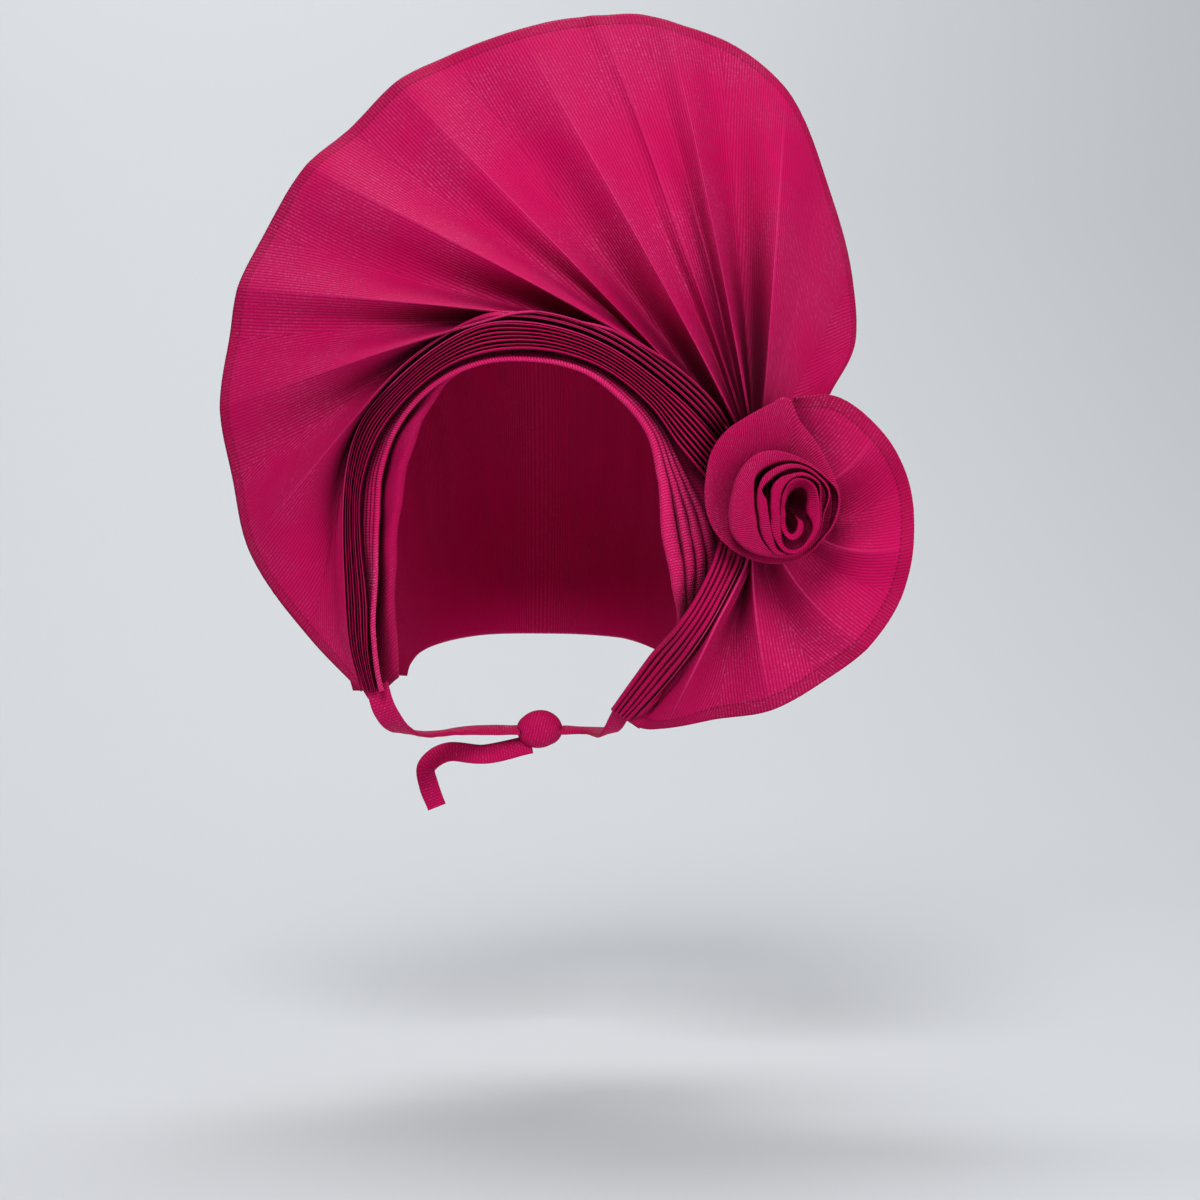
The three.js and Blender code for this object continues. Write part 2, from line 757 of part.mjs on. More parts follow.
// Gather core
function gatherBinding() {
  const geometry = new THREE.CylinderGeometry(CORE_RADIUS, CORE_RADIUS, CORE_LENGTH, 20);
  geometry.translate(0, -CORE_FRONT + CORE_LENGTH / 2, 0);
  geometry.translate(GATHER.x, 0, GATHER.z);
  return geometry;
}

// Nape straps

function flatStrap(keys, width, steps) {
  const centres = keys.map((key) => new THREE.Vector3(...key.slice(0, 3)));
  const faces = keys.map((key) => new THREE.Vector3(...key.slice(3, 6)));
  const half = { width: width / 2, wall: STRAP_WALL / 2 };
  const corners = [[-1, -0.5], [-0.85, -1], [0.85, -1], [1, -0.5], [1, 0.5], [0.85, 1], [-0.85, 1], [-1, 0.5]];
  const sections = [];
  for (let i = 0; i <= steps; i += 1) {
    const place = i / steps * (keys.length - 1);
    const centre = smoothRow(centres, place);
    const ahead = smoothRow(centres, Math.min(place + 0.02, keys.length - 1));
    const behind = smoothRow(centres, Math.max(place - 0.02, 0));
    const along = ahead.sub(behind).normalize();
    const wide = along.clone().cross(smoothRow(faces, place)).normalize();
    const normal = wide.clone().cross(along);
    sections.push(corners.map(([a, b]) => centre.clone()
      .addScaledVector(wide, a * half.width)
      .addScaledVector(normal, b * half.wall)));
  }
  return sweptSolid(sections, corners.map(([a, b]) => new THREE.Vector2(a * 5, b)));
}

const bandFoot = bandEdges(1);
const cheekFoot = cheekEdges(1);
const bandEnd = bandFoot.inner.clone().lerp(bandFoot.outer, 0.5);
const cheekEnd = cheekFoot.inner.clone().lerp(cheekFoot.outer, 0.5);
const knotHalf = KNOT.width / 2 + 2 * GAP;

function strapLeft() {
  return flatStrap([
    [bandEnd.x + 1, bandEnd.y + 4, bandEnd.z - 2 * GAP - 2, 0, -1, 0],
    [bandEnd.x + 5, bandEnd.y + 5, bandEnd.z - 10, -0.2, -1, -0.2],
    [bandEnd.x + 12, bandEnd.y + 14, bandEnd.z - 18, -0.4, -0.8, -0.7],
    [bandEnd.x + 25, NAPE_BACK * 0.62, -NAPE_DROP - 1, -0.4, -0.4, -1],
    [bandEnd.x + 44, NAPE_BACK * 0.92, -NAPE_DROP, 0, 0.2, -1],
    [-knotHalf, NAPE_BACK, -NAPE_DROP, 0, 0.3, -1],
  ], STRAP_WIDTH, 16);
}

function strapRight() {
  return flatStrap([
    [cheekEnd.x - 1, cheekEnd.y + 5, cheekEnd.z - GAP - 3, 0.3, -1, -0.3],
    [cheekEnd.x - 5, cheekEnd.y + 16, cheekEnd.z - 8, 0.4, -0.6, -1],
    [cheekEnd.x - 12, NAPE_BACK * 0.85, -NAPE_DROP, 0.2, 0, -1],
    [knotHalf, NAPE_BACK, -NAPE_DROP, 0, 0.3, -1],
  ], STRAP_WIDTH * 0.8, 12);
}

function strapTail() {
  const top = -NAPE_DROP - KNOT.height / 2 - STRAP_WIDTH * 0.2;
  return flatStrap([
    [-8, NAPE_BACK + 1, top, 0, -1, 0.2],
    [-26, NAPE_BACK + 3, top - 1, 0, -1, 0.2],
    [-44, NAPE_BACK + 3, top, -0.3, -1, 0.2],
    [-54, NAPE_BACK + 1, top - TAIL_LENGTH * 0.25, -0.3, -1, 0],
    [-53, NAPE_BACK - 1, top - TAIL_LENGTH * 0.6, -0.2, -1, 0],
    [-49, NAPE_BACK - 2, top - TAIL_LENGTH, -0.2, -1, 0],
  ], STRAP_WIDTH * 0.85, 16);
}

function strapKnot() {
  const geometry = new THREE.SphereGeometry(0.5, 16, 10);
  geometry.scale(KNOT.width, KNOT.depth, KNOT.height);
  geometry.translate(0, NAPE_BACK, -NAPE_DROP);
  return geometry;
}

// Assembly

function cloth(color, roughness) {
  return new THREE.MeshStandardMaterial({ color, roughness, metalness: 0 });
}

const FUCHSIA = 0xbf1158;
const PINK = 0xd03a72;
const SHADE = 0xa00f4a;

const headTie = new THREE.Group();

function addPiece(name, geometry, material) {
  const mesh = new THREE.Mesh(geometry, material);
  mesh.name = name;
  headTie.add(mesh);
}

addPiece('cap', cap(), cloth(SHADE, 0.85));
ROLLS.forEach((roll, i) => addPiece(`brow_roll_${i + 1}`, browRoll(roll), cloth(PINK, 0.75)));
addPiece('pleat_band', combSolid(bandEdges, BAND_BLADES, 30), cloth(FUCHSIA, 0.8));
addPiece('large_fan', fanSolid(LARGE), cloth(FUCHSIA, 0.75));
addPiece('cheek_pleats', combSolid(cheekEdges, CHEEK_BLADES, 14), cloth(FUCHSIA, 0.8));
addPiece('small_fan', fanSolid(SMALL), cloth(FUCHSIA, 0.75));
addPiece('gather_binding', gatherBinding(), cloth(SHADE, 0.9));
addPiece('rosette', rosette(), cloth(PINK, 0.7));
addPiece('strap_left', strapLeft(), cloth(FUCHSIA, 0.8));
addPiece('strap_right', strapRight(), cloth(FUCHSIA, 0.8));
addPiece('strap_knot', strapKnot(), cloth(FUCHSIA, 0.8));
addPiece('strap_tail', strapTail(), cloth(FUCHSIA, 0.8));

export default headTie;
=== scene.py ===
import math

import bmesh
import bpy
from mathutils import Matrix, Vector, noise


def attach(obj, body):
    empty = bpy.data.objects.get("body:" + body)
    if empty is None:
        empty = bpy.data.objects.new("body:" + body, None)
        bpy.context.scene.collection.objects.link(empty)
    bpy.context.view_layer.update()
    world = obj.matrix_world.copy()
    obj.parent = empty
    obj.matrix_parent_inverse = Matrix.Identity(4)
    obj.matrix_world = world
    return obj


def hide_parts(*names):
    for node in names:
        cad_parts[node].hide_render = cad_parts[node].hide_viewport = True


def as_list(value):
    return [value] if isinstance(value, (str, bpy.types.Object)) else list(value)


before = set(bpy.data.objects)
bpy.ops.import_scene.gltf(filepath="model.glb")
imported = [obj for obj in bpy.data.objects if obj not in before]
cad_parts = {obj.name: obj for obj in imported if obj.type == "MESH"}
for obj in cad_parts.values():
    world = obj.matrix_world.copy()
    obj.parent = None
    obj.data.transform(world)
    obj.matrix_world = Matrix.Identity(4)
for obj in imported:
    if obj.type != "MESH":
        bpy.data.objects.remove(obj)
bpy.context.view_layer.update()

# Sizes are in millimetres and become metres when a mesh is made
MM = 0.001

# Cloth
CLOTH = 0.6
RIB_PITCH = 1.55
HEM = 6.0

# Size the wrap is tied for, and the ring of its opening
HEAD_BREADTH = 150.0
CROWN_RISE = 172.0
FACE = Vector((-5.0, 0.0, -114.0))
FACE_REACH = 80.0
BROW_FORWARD = 84.0
ROLL_PITCH = 2.3
ROLL_PUFF = 2.2
GAP = 0.4

# Pressed pleats
BLADE_DEPTH = 7.0
BAND_LEAVES = 7
CHEEK_LEAVES = 5
CHEEK_RUN = 120.0

# Gather
GATHER_REACH = 101.5
GATHER_TURN = 17.8
CORE_RADIUS = 10.5
CORE_FRONT = 60.0
CORE_LENGTH = 42.0

# Fans
FAN_REACH = 247.0
FAN_SWEEP = 20.0
FAN_FOLD = 20.0
FAN_BULGE = 22.0
SMALL_REACH = 122.0
SMALL_FOLD = 12.0
FAN_FORWARD = 50.0
LANE_PITCH = 1.15

# Straps
STRAP_WIDTH = 11.0
STRAP_WALL = 2.2
NAPE_BACK = 50.0
NAPE_DROP = 200.0
TAIL_LENGTH = 26.0
KNOT = Vector((22.0, 14.0, 18.0))


def table(names, rows):
    columns = names.split()
    return [dict(zip(columns, row)) for row in rows]


# Ring of the opening from its foot on the left over the brow to its foot on the right
RING = table("turn reach forward pitch puff lean skull", [
    (225, 1.160, 0.10, 0.95, 1.0, 86, 88),
    (211, 1.005, 0.17, 0.95, 1.0, 80, 86),
    (192, 0.868, 0.22, 0.95, 1.0, 60, 84),
    (170, 0.848, 0.30, 0.98, 1.0, 38, 80),
    (151, 0.908, 0.44, 0.95, 1.0, 44, 74),
    (135, 0.960, 0.61, 0.95, 1.0, 58, 65),
    (118, 0.990, 0.81, 0.98, 1.0, 62, 66),
    (103, 0.998, 0.95, 1.00, 1.0, 57, 64),
    (87, 0.991, 1.00, 1.00, 1.0, 56, 64),
    (71, 0.991, 0.98, 1.00, 1.0, 56, 64),
    (56, 0.960, 0.91, 1.00, 1.1, 55, 68),
    (41, 0.925, 0.80, 1.10, 1.3, 50, 72),
    (26, 0.858, 0.72, 1.60, 1.6, 42, 70),
    (6, 0.825, 0.65, 2.50, 2.0, 30, 63),
    (-12, 0.885, 0.55, 2.30, 1.9, 28, 66),
    (-25, 0.975, 0.40, 0.95, 1.2, 40, 70),
])

# Rolls: place in the stack and width, as shares of the pitch
ROLLS = table("place width", [
    (-0.25, 1.36),
    (1, 0.94),
    (2, 0.94),
    (3, 0.94),
])

# Pleat band after its end at the gather
BAND = table("turn_in reach_in turn_out reach_out forward_in forward_out", [
    (31.8, 1.010, 38.6, 1.170, 0.78, 0.74),
    (46.3, 1.020, 50.8, 1.145, 0.88, 0.82),
    (60.9, 1.030, 63.8, 1.150, 0.98, 0.92),
    (74.2, 1.036, 75.5, 1.160, 1.05, 0.98),
    (87.3, 1.034, 87.6, 1.175, 1.07, 1.00),
    (101.9, 1.034, 99.5, 1.190, 1.02, 0.95),
    (114.8, 1.030, 112.8, 1.155, 0.90, 0.83),
    (129.3, 1.015, 126.9, 1.130, 0.73, 0.66),
    (143.9, 1.000, 141.5, 1.130, 0.57, 0.51),
    (160.3, 0.965, 154.9, 1.085, 0.41, 0.37),
    (177.5, 0.925, 171.4, 1.030, 0.30, 0.26),
    (198.9, 0.948, 193.6, 1.040, 0.23, 0.19),
    (214.0, 1.075, 209.8, 1.145, 0.17, 0.12),
    (223.8, 1.190, 221.6, 1.240, 0.10, 0.07),
])

# Cheek pleats after their end at the gather
CHEEK = table("turn_in reach_in turn_out reach_out forward", [
    (251.5, 0.29, 269.0, 0.28, 0.64),
    (250.0, 0.45, 260.5, 0.45, 0.64),
    (247.0, 0.59, 254.5, 0.63, 0.58),
    (243.5, 0.75, 249.5, 0.83, 0.33),
    (241.5, 1.00, 245.7, 1.01, 0.06),
])

# Creases of the large fan: rim turn and reach about the gather, rim depth, share of the band
# followed before the crease leaves it, fold (0 ridge, 1 full valley) and forward swell
FAN = table("turn reach back leave fold swell", [
    (210.6, 0.785, -0.10, 1.00, 0.0, 0),
    (200.5, 0.848, 0.00, 0.73, 0.6, 0),
    (187.9, 0.918, 0.00, 0.58, 0.0, 0),
    (179.9, 0.942, 0.05, 0.50, 0.9, 0),
    (172.0, 0.972, 0.10, 0.37, 0.0, 0),
    (164.4, 0.986, 0.15, 0.31, 0.8, 0.1),
    (158.9, 0.999, 0.20, 0.25, 0.0, 0.25),
    (152.4, 1.000, 0.25, 0.20, 0.9, 0.4),
    (143.7, 0.998, 0.30, 0.13, 0.0, 0.6),
    (137.5, 0.983, 0.35, 0.08, 0.9, 0.75),
    (130.4, 0.983, 0.40, 0.04, 0.0, 0.9),
    (123.7, 0.968, 0.45, 0.00, 0.8, 1),
    (115.6, 0.942, 0.50, 0.00, 0.0, 1),
    (108.9, 0.926, 0.55, 0.00, 0.5, 1),
    (106.1, 0.916, 0.60, 0.00, 0.3, 1),
    (101.4, 0.901, 0.60, 0.00, 0.6, 1),
    (98.2, 0.877, 0.60, 0.00, 0.0, 0.9),
    (91.8, 0.842, 0.65, 0.00, 0.95, 0.8),
    (82.6, 0.742, 0.35, 0.00, 0.0, 0.6),
    (72.1, 0.575, 0.35, 0.00, 0.25, 0.4),
    (60.0, 0.440, 0.30, 0.00, 0.35, 0.2),
    (49.5, 0.345, 0.10, 0.00, 0.2, 0),
    (42.6, 0.230, -0.90, 0.00, 0.0, 0),
])

# Creases of the small fan, in the same columns, and how far right of the gather and below it lies
# the point that the crease bends towards, as shares of its reach
SMALL_FAN = table("turn reach back leave fold swell bend_right bend_down", [
    (246.6, 1.010, -0.10, 1.00, 0.0, 0, 0, 0),
    (249.6, 0.995, -0.50, 0.80, 0.6, 0, 0, 0),
    (253.6, 0.965, -0.90, 0.50, 0.0, 0, 0, 0),
    (264.2, 0.895, -1.50, 0.22, 0.8, 0, 0, 0),
    (277.4, 0.858, -2.10, 0.05, 0.0, 0, 0.00, 0.33),
    (291.6, 0.803, -2.40, 0.00, 0.7, 0, 0.02, 0.34),
    (305.8, 0.770, -2.60, 0.00, 0.0, 0, 0.05, 0.36),
    (323.0, 0.720, -2.70, 0.00, 0.6, 0, 0.15, 0.33),
    (337.4, 0.662, -2.80, 0.00, 0.0, 0, 0.23, 0.36),
    (359.0, 0.596, -2.80, 0.00, 1.1, 0, 0.25, 0.35),
    (378.8, 0.513, -2.90, 0.00, 0.0, 0, 0.28, 0.18),
    (401.6, 0.425, -3.00, 0.00, 0.3, 0, 0.20, 0.00),
    (416.2, 0.330, -3.00, 0.00, 0.0, 0, 0, 0),
])

# Depth of the folds along a crease, from where it leaves the pleats to the rim
FOLD_GROWTH = table("depth", [(0.60,), (1.00,), (1.15,), (1.02,), (0.80,), (0.54,), (0.32,)])

# Arches of the cap behind the brow
ARCHES = table("tilt height ends half", [
    (60, 0.950, 0.07, 0.92),
    (72, 0.975, 0.09, 0.96),
    (85, 1.000, 0.11, 1.00),
    (100, 0.965, 0.12, 1.00),
    (113, 0.860, 0.13, 1.00),
    (128, 0.680, 0.14, 0.98),
    (143, 0.460, 0.15, 0.93),
    (158, 0.290, 0.16, 0.86),
])


# Curves

def lerp(a, b, share):
    return a + (b - a) * share


def catmull_rom(a, b, c, d, u):
    tangent_b = (c - a) / 2
    tangent_c = (d - b) / 2
    cubic = 2 * b - 2 * c + tangent_b + tangent_c
    square = 3 * c - 3 * b - 2 * tangent_b - tangent_c
    return ((cubic * u + square) * u + tangent_b) * u + b


def sample(rows, share):
    """Row of a table at a share of its length, on a smooth curve through every row."""
    last = len(rows) - 1
    place = min(max(share, 0.0), 1.0) * last
    index = min(int(place), last - 1)
    row = {}
    for name in rows[0]:
        here = rows[index][name]
        ahead = rows[index + 1][name]
        before = rows[index - 1][name] if index > 0 else 2 * here - ahead
        after = rows[index + 2][name] if index + 2 <= last else 2 * ahead - here
        row[name] = catmull_rom(before, here, ahead, after, place - index)
    return row


def smooth_row(points, place):
    last = len(points) - 1
    index = min(int(place), last - 1)
    a, b, c, d = (points[min(max(i, 0), last)] for i in range(index - 1, index + 3))
    return catmull_rom(a, b, c, d, place - index)


def polar_point(centre, turn, reach, y):
    angle = math.radians(turn)
    return Vector((centre.x + reach * math.cos(angle), y, centre.z + reach * math.sin(angle)))


GATHER = polar_point(FACE, GATHER_TURN, GATHER_REACH, 0.0)


def face_point(turn, reach, forward):
    return polar_point(FACE, turn, FACE_REACH * reach, -BROW_FORWARD * forward)


def outward_of(path_point, share):
    """Unit direction in the front plane, to the left of a path as it runs."""
    step = 0.004
    before = path_point(max(share - step, 0.0))
    after = path_point(min(share + step, 1.0))
    across = Vector((-(after.z - before.z), 0.0, after.x - before.x))
    return across.normalized()


def wander(seed, place, size):
    """Smooth wandering of cloth, between about plus and minus size."""
    return size * noise.noise(Vector((seed * 7.31, place, 0.37 * seed)))


# Meshes

def grid_piece(name, columns, rows, point_at, uv_at, wall, closed=False, ridge_highlight_at=None):
    """Sheet of cloth on a grid: each point and its place on the flat cloth come from shares."""
    mesh = bmesh.new()
    bmesh.ops.create_grid(mesh, x_segments=columns, y_segments=rows, size=1.0)
    uv_layer = mesh.loops.layers.uv.new("cloth")
    # Weight of the painted highlight along the fan's ridges
    ridge_highlight_layer = mesh.verts.layers.float.new("crease")
    shares = {v: ((v.co.x + 1) / 2, (v.co.y + 1) / 2) for v in mesh.verts}
    flat = {v: uv_at(*share) for v, share in shares.items()}
    for face in mesh.faces:
        face.smooth = True
        for loop in face.loops:
            loop[uv_layer].uv = (flat[loop.vert][0] * MM, flat[loop.vert][1] * MM)
    for vert, share in shares.items():
        vert.co = point_at(*share) * MM
        vert[ridge_highlight_layer] = ridge_highlight_at(*share) if ridge_highlight_at else 0.0
    if closed:
        bmesh.ops.remove_doubles(mesh, verts=mesh.verts, dist=1e-7)
        bmesh.ops.holes_fill(mesh, edges=[e for e in mesh.edges if e.is_boundary], sides=0)
        bmesh.ops.recalc_face_normals(mesh, faces=mesh.faces)
    data = bpy.data.meshes.new(name)
    mesh.to_mesh(data)
    mesh.free()
    piece = bpy.data.objects.new(name, data)
    bpy.context.scene.collection.objects.link(piece)
    if wall:
        thicken(piece, wall)
    return piece


def thicken(piece, wall):
    modifier = piece.modifiers.new("wall", "SOLIDIFY")
    modifier.thickness = wall * MM
    modifier.offset = -1.0
    modifier.use_rim = True
    modifier.use_even_offset = False


def finish_piece(piece, material, slot, *nodes):
    piece.data.materials.append(material)
    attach(piece, "root")
    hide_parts(*nodes)


# Materials

def socket(group, name, kind, direction, default=None):
    item = group.interface.new_socket(name=name, in_out=direction, socket_type=kind)
    if default is not None:
        item.default_value = default
    return item


class Nodes:
    """Short way to add nodes and wire them by name."""

    def __init__(self, tree):
        self.tree = tree

    def add(self, kind, **settings):
        node = self.tree.nodes.new(kind)
        for name, value in settings.items():
            setattr(node, name, value)
        return node

    def wire(self, source, target):
        self.tree.links.new(source, target)

    def math(self, operation, *values):
        node = self.add("ShaderNodeMath", operation=operation)
        for i, value in enumerate(values):
            if hasattr(value, "links"):
                self.wire(value, node.inputs[i])
            else:
                node.inputs[i].default_value = value
        return node.outputs[0]


def ribbed_weave_group():
    """Ribs across U, threads along V: height of the cloth, a mask for shade painted into its grooves,
    and glints, used both as painted highlights and for lower roughness.
    """
    group = bpy.data.node_groups.new("ribbed_weave", "ShaderNodeTree")
    socket(group, "Vector", "NodeSocketVector", "INPUT")
    socket(group, "Rib Pitch", "NodeSocketFloat", "INPUT", RIB_PITCH * MM)
    socket(group, "Thread Pitch", "NodeSocketFloat", "INPUT", 0.6 * MM)
    socket(group, "Height", "NodeSocketFloat", "OUTPUT")
    socket(group, "Groove Shade", "NodeSocketFloat", "OUTPUT")
    socket(group, "Glint", "NodeSocketFloat", "OUTPUT")
    n = Nodes(group)
    given = n.add("NodeGroupInput")
    out = n.add("NodeGroupOutput")
    split = n.add("ShaderNodeSeparateXYZ")
    n.wire(given.outputs["Vector"], split.inputs[0])
    wobble = n.add("ShaderNodeTexNoise")
    wobble.inputs["Scale"].default_value = 260.0
    wobble.inputs["Detail"].default_value = 2.0
    n.wire(given.outputs["Vector"], wobble.inputs["Vector"])
    shift = n.math("MULTIPLY", n.math("SUBTRACT", wobble.outputs["Fac"], 0.5), 0.35)
    across = n.math("ADD", n.math("DIVIDE", split.outputs["X"], given.outputs["Rib Pitch"]), shift)
    rib = n.math("ABSOLUTE", n.math("SINE", n.math("MULTIPLY", across, math.pi)))
    lane = n.math("FLOOR", across)
    stagger = n.math("MULTIPLY", lane, 0.5)
    along = n.math("ADD", n.math("DIVIDE", split.outputs["Y"], given.outputs["Thread Pitch"]), stagger)
    thread = n.math("ABSOLUTE", n.math("SINE", n.math("MULTIPLY", along, math.pi)))
    height = n.math("ADD", n.math("MULTIPLY", rib, 0.72), n.math("MULTIPLY", thread, 0.28))
    n.wire(height, out.inputs["Height"])
    n.wire(n.math("SUBTRACT", 1.0, n.math("POWER", height, 0.7)), out.inputs["Groove Shade"])
    cell = n.add("ShaderNodeCombineXYZ")
    n.wire(lane, cell.inputs["X"])
    n.wire(n.math("FLOOR", along), cell.inputs["Y"])
    chance = n.add("ShaderNodeTexWhiteNoise", noise_dimensions="2D")
    n.wire(cell.outputs[0], chance.inputs["Vector"])
    lucky = n.math("POWER", chance.outputs["Value"], 5.0)
    bead = n.math("POWER", n.math("MULTIPLY", rib, thread), 2.0)
    n.wire(n.math("MULTIPLY", n.math("ADD", lucky, 0.25), bead), out.inputs["Glint"])
    return group


WEAVE = ribbed_weave_group()

FUCHSIA = (0.60, 0.0008, 0.102, 1.0)
# Darker fuchsia: painted shade in the weave's grooves, also the cloudy tone and the hem
FUCHSIA_DARK = (0.26, 0.0006, 0.030, 1.0)
# Brighter copy of the fuchsia for the rolls: painted light where the band shades them
FUCHSIA_PAINTED_LIGHT = (0.80, 0.012, 0.150, 1.0)
# Pink of the painted glints
PAINTED_GLINT = (0.90, 0.18, 0.50, 1.0)
# Pink of the painted highlight along the ridges
PAINTED_RIDGE_HIGHLIGHT = (0.90, 0.05, 0.25, 1.0)
# Near black of the painted shade deep in folds, and how far the ambient occlusion looks
PAINTED_FOLD_SHADE = (0.030, 0.0, 0.004, 1.0)
FOLD_SHADE_REACH = 26.0
STITCH = 2.6
STITCH_HALF = 0.35


def mixed(n, factor, first, second):
    """Colour between two, each a colour or another node's colour."""
    mix = n.add("ShaderNodeMix", data_type="RGBA")
    n.wire(factor, mix.inputs["Factor"])
    for name, colour in (("A", first), ("B", second)):
        if hasattr(colour, "links"):
            n.wire(colour, mix.inputs[name])
        else:
            mix.inputs[name].default_value = colour
    return mix.outputs["Result"]


def hem_of(n, place, hem):
    """The folded hem and its line of stitches, each 1 where it lies and 0 elsewhere."""
    split = n.add("ShaderNodeSeparateXYZ")
    n.wire(place.outputs["UV"], split.inputs[0])
    inside = n.math("SUBTRACT", hem * MM, split.outputs["Y"])
    line = n.math("ABSOLUTE", n.math("SUBTRACT", inside, HEM * MM))
    seam = n.math("LESS_THAN", line, STITCH_HALF * MM)
    stitch = n.math("SINE", n.math("MULTIPLY", split.outputs["X"], 2 * math.pi / (STITCH * MM)))
    thread = n.math("MULTIPLY", seam, n.math("GREATER_THAN", stitch, -0.4))
    return n.math("LESS_THAN", inside, HEM * MM), thread


def painted_fold_shade(n, fold_shade):
    """Painted shade: how far a spot lies down in a fold or hollow, by ambient occlusion, which darkens
    the colour there.
    """
    nearby = n.add("ShaderNodeAmbientOcclusion", samples=4)
    nearby.inputs["Distance"].default_value = FOLD_SHADE_REACH * MM
    shade_amount = n.add("ShaderNodeMapRange")
    shade_amount.inputs["From Min"].default_value = 0.80
    shade_amount.inputs["From Max"].default_value = 0.28
    shade_amount.inputs["To Max"].default_value = fold_shade
    n.wire(nearby.outputs["AO"], shade_amount.inputs["Value"])
    return shade_amount.outputs["Result"]


def cloth_material(name, base, glint_paint, rib_pitch=RIB_PITCH, thread_pitch=0.6, relief=0.30,
                   groove_shade=0.75, fold_shade=0.85, hem=None):
    """Fuchsia ribbed cloth. The hem, if given, is the flat cloth's length to its rim."""
    material = bpy.data.materials.new(name)
    material.use_nodes = True
    n = Nodes(material.node_tree)
    shader = material.node_tree.nodes["Principled BSDF"]
    shader.inputs["Sheen Weight"].default_value = 0.02
    shader.inputs["Sheen Roughness"].default_value = 0.35
    shader.inputs["Sheen Tint"].default_value = (1.0, 0.12, 0.40, 1.0)
    shader.inputs["Specular IOR Level"].default_value = 0.10
    place = n.add("ShaderNodeUVMap", uv_map="cloth")
    weave = n.add("ShaderNodeGroup", node_tree=WEAVE)
    weave.inputs["Rib Pitch"].default_value = rib_pitch * MM
    weave.inputs["Thread Pitch"].default_value = thread_pitch * MM
    n.wire(place.outputs["UV"], weave.inputs["Vector"])
    cloudy = n.add("ShaderNodeTexNoise")
    cloudy.inputs["Scale"].default_value = 22.0
    cloudy.inputs["Detail"].default_value = 4.0
    coordinates = n.add("ShaderNodeTexCoord")
    n.wire(coordinates.outputs["Object"], cloudy.inputs["Vector"])

    # Dark share of the colour, from painted shade in the grooves, a cloudy unevenness and the hem
    shade = n.math("MULTIPLY", weave.outputs["Groove Shade"], groove_shade)
    cloud = n.math("MULTIPLY", n.math("SUBTRACT", cloudy.outputs["Fac"], 0.5), 0.45)
    amount = n.math("ADD", shade, cloud)
    height = weave.outputs["Height"]
    if hem is not None:
        fold, thread = hem_of(n, place, hem)
        height = n.math("ADD", height, n.math("MULTIPLY", fold, 0.6))
        height = n.math("SUBTRACT", height, n.math("MULTIPLY", thread, 1.2))
        amount = n.math("ADD", amount, n.math("MULTIPLY", thread, 0.55))
        amount = n.math("ADD", amount, n.math("MULTIPLY", fold, 0.30))
    clamp = n.add("ShaderNodeClamp")
    n.wire(amount, clamp.inputs[0])
    colour = mixed(n, clamp.outputs[0], base, FUCHSIA_DARK)

    # Painted glints: pink highlights mixed into the colour at thread crossings, in patches; the same
    # glints also lower the roughness
    patch = n.add("ShaderNodeMapRange")
    patch.inputs["From Min"].default_value = 0.38
    patch.inputs["From Max"].default_value = 0.62
    n.wire(cloudy.outputs["Fac"], patch.inputs["Value"])
    glint_highlight = n.math("MULTIPLY", weave.outputs["Glint"], patch.outputs["Result"])
    colour = mixed(n, n.math("MULTIPLY", glint_highlight, glint_paint), colour, PAINTED_GLINT)

    # Painted highlight along the ridges, from the crease weight
    line = n.add("ShaderNodeAttribute", attribute_name="crease")
    ridge_highlight = n.math("MULTIPLY", n.math("POWER", line.outputs["Fac"], 2.5), 0.42)
    colour = mixed(n, ridge_highlight, colour, PAINTED_RIDGE_HIGHLIGHT)
    # Painted shade: the colour goes near black deep in folds and hollows
    colour = mixed(n, painted_fold_shade(n, fold_shade), colour, PAINTED_FOLD_SHADE)
    n.wire(colour, shader.inputs["Base Color"])
    rough = n.math("SUBTRACT", 0.66, n.math("MULTIPLY", weave.outputs["Glint"], 0.3))
    n.wire(rough, shader.inputs["Roughness"])
    bump = n.add("ShaderNodeBump")
    bump.inputs["Strength"].default_value = 0.8
    bump.inputs["Distance"].default_value = relief * MM
    n.wire(height, bump.inputs["Height"])
    n.wire(bump.outputs["Normal"], shader.inputs["Normal"])
    return material


# Brow rolls

def ring_point(share):
    row = sample(RING, share)
    return face_point(row["turn"], row["reach"], row["forward"])


def ring_station(share):
    row = sample(RING, share)
    return {
        "centre": face_point(row["turn"], row["reach"], row["forward"]),
        "outward": outward_of(ring_point, share),
        "pitch": ROLL_PITCH * row["pitch"],
        "puff": ROLL_PUFF * row["puff"],
        "lean": math.radians(row["lean"]),
        "skull": math.radians(row["skull"]),
    }


def station_point(station, outward, back):
    return station["centre"] + station["outward"] * outward + Vector((0.0, back, 0.0))


ROLL_STEPS = 1300
ROLL_SIDES = 12
BEAD_PITCH = 1.3
BEAD_RISE = 0.13

roll_stations = [ring_station(i / ROLL_STEPS) for i in range(ROLL_STEPS + 1)]
roll_lengths = [0.0]
for i in range(ROLL_STEPS):
    span = (roll_stations[i + 1]["centre"] - roll_stations[i]["centre"]).length
    roll_lengths.append(roll_lengths[-1] + span)


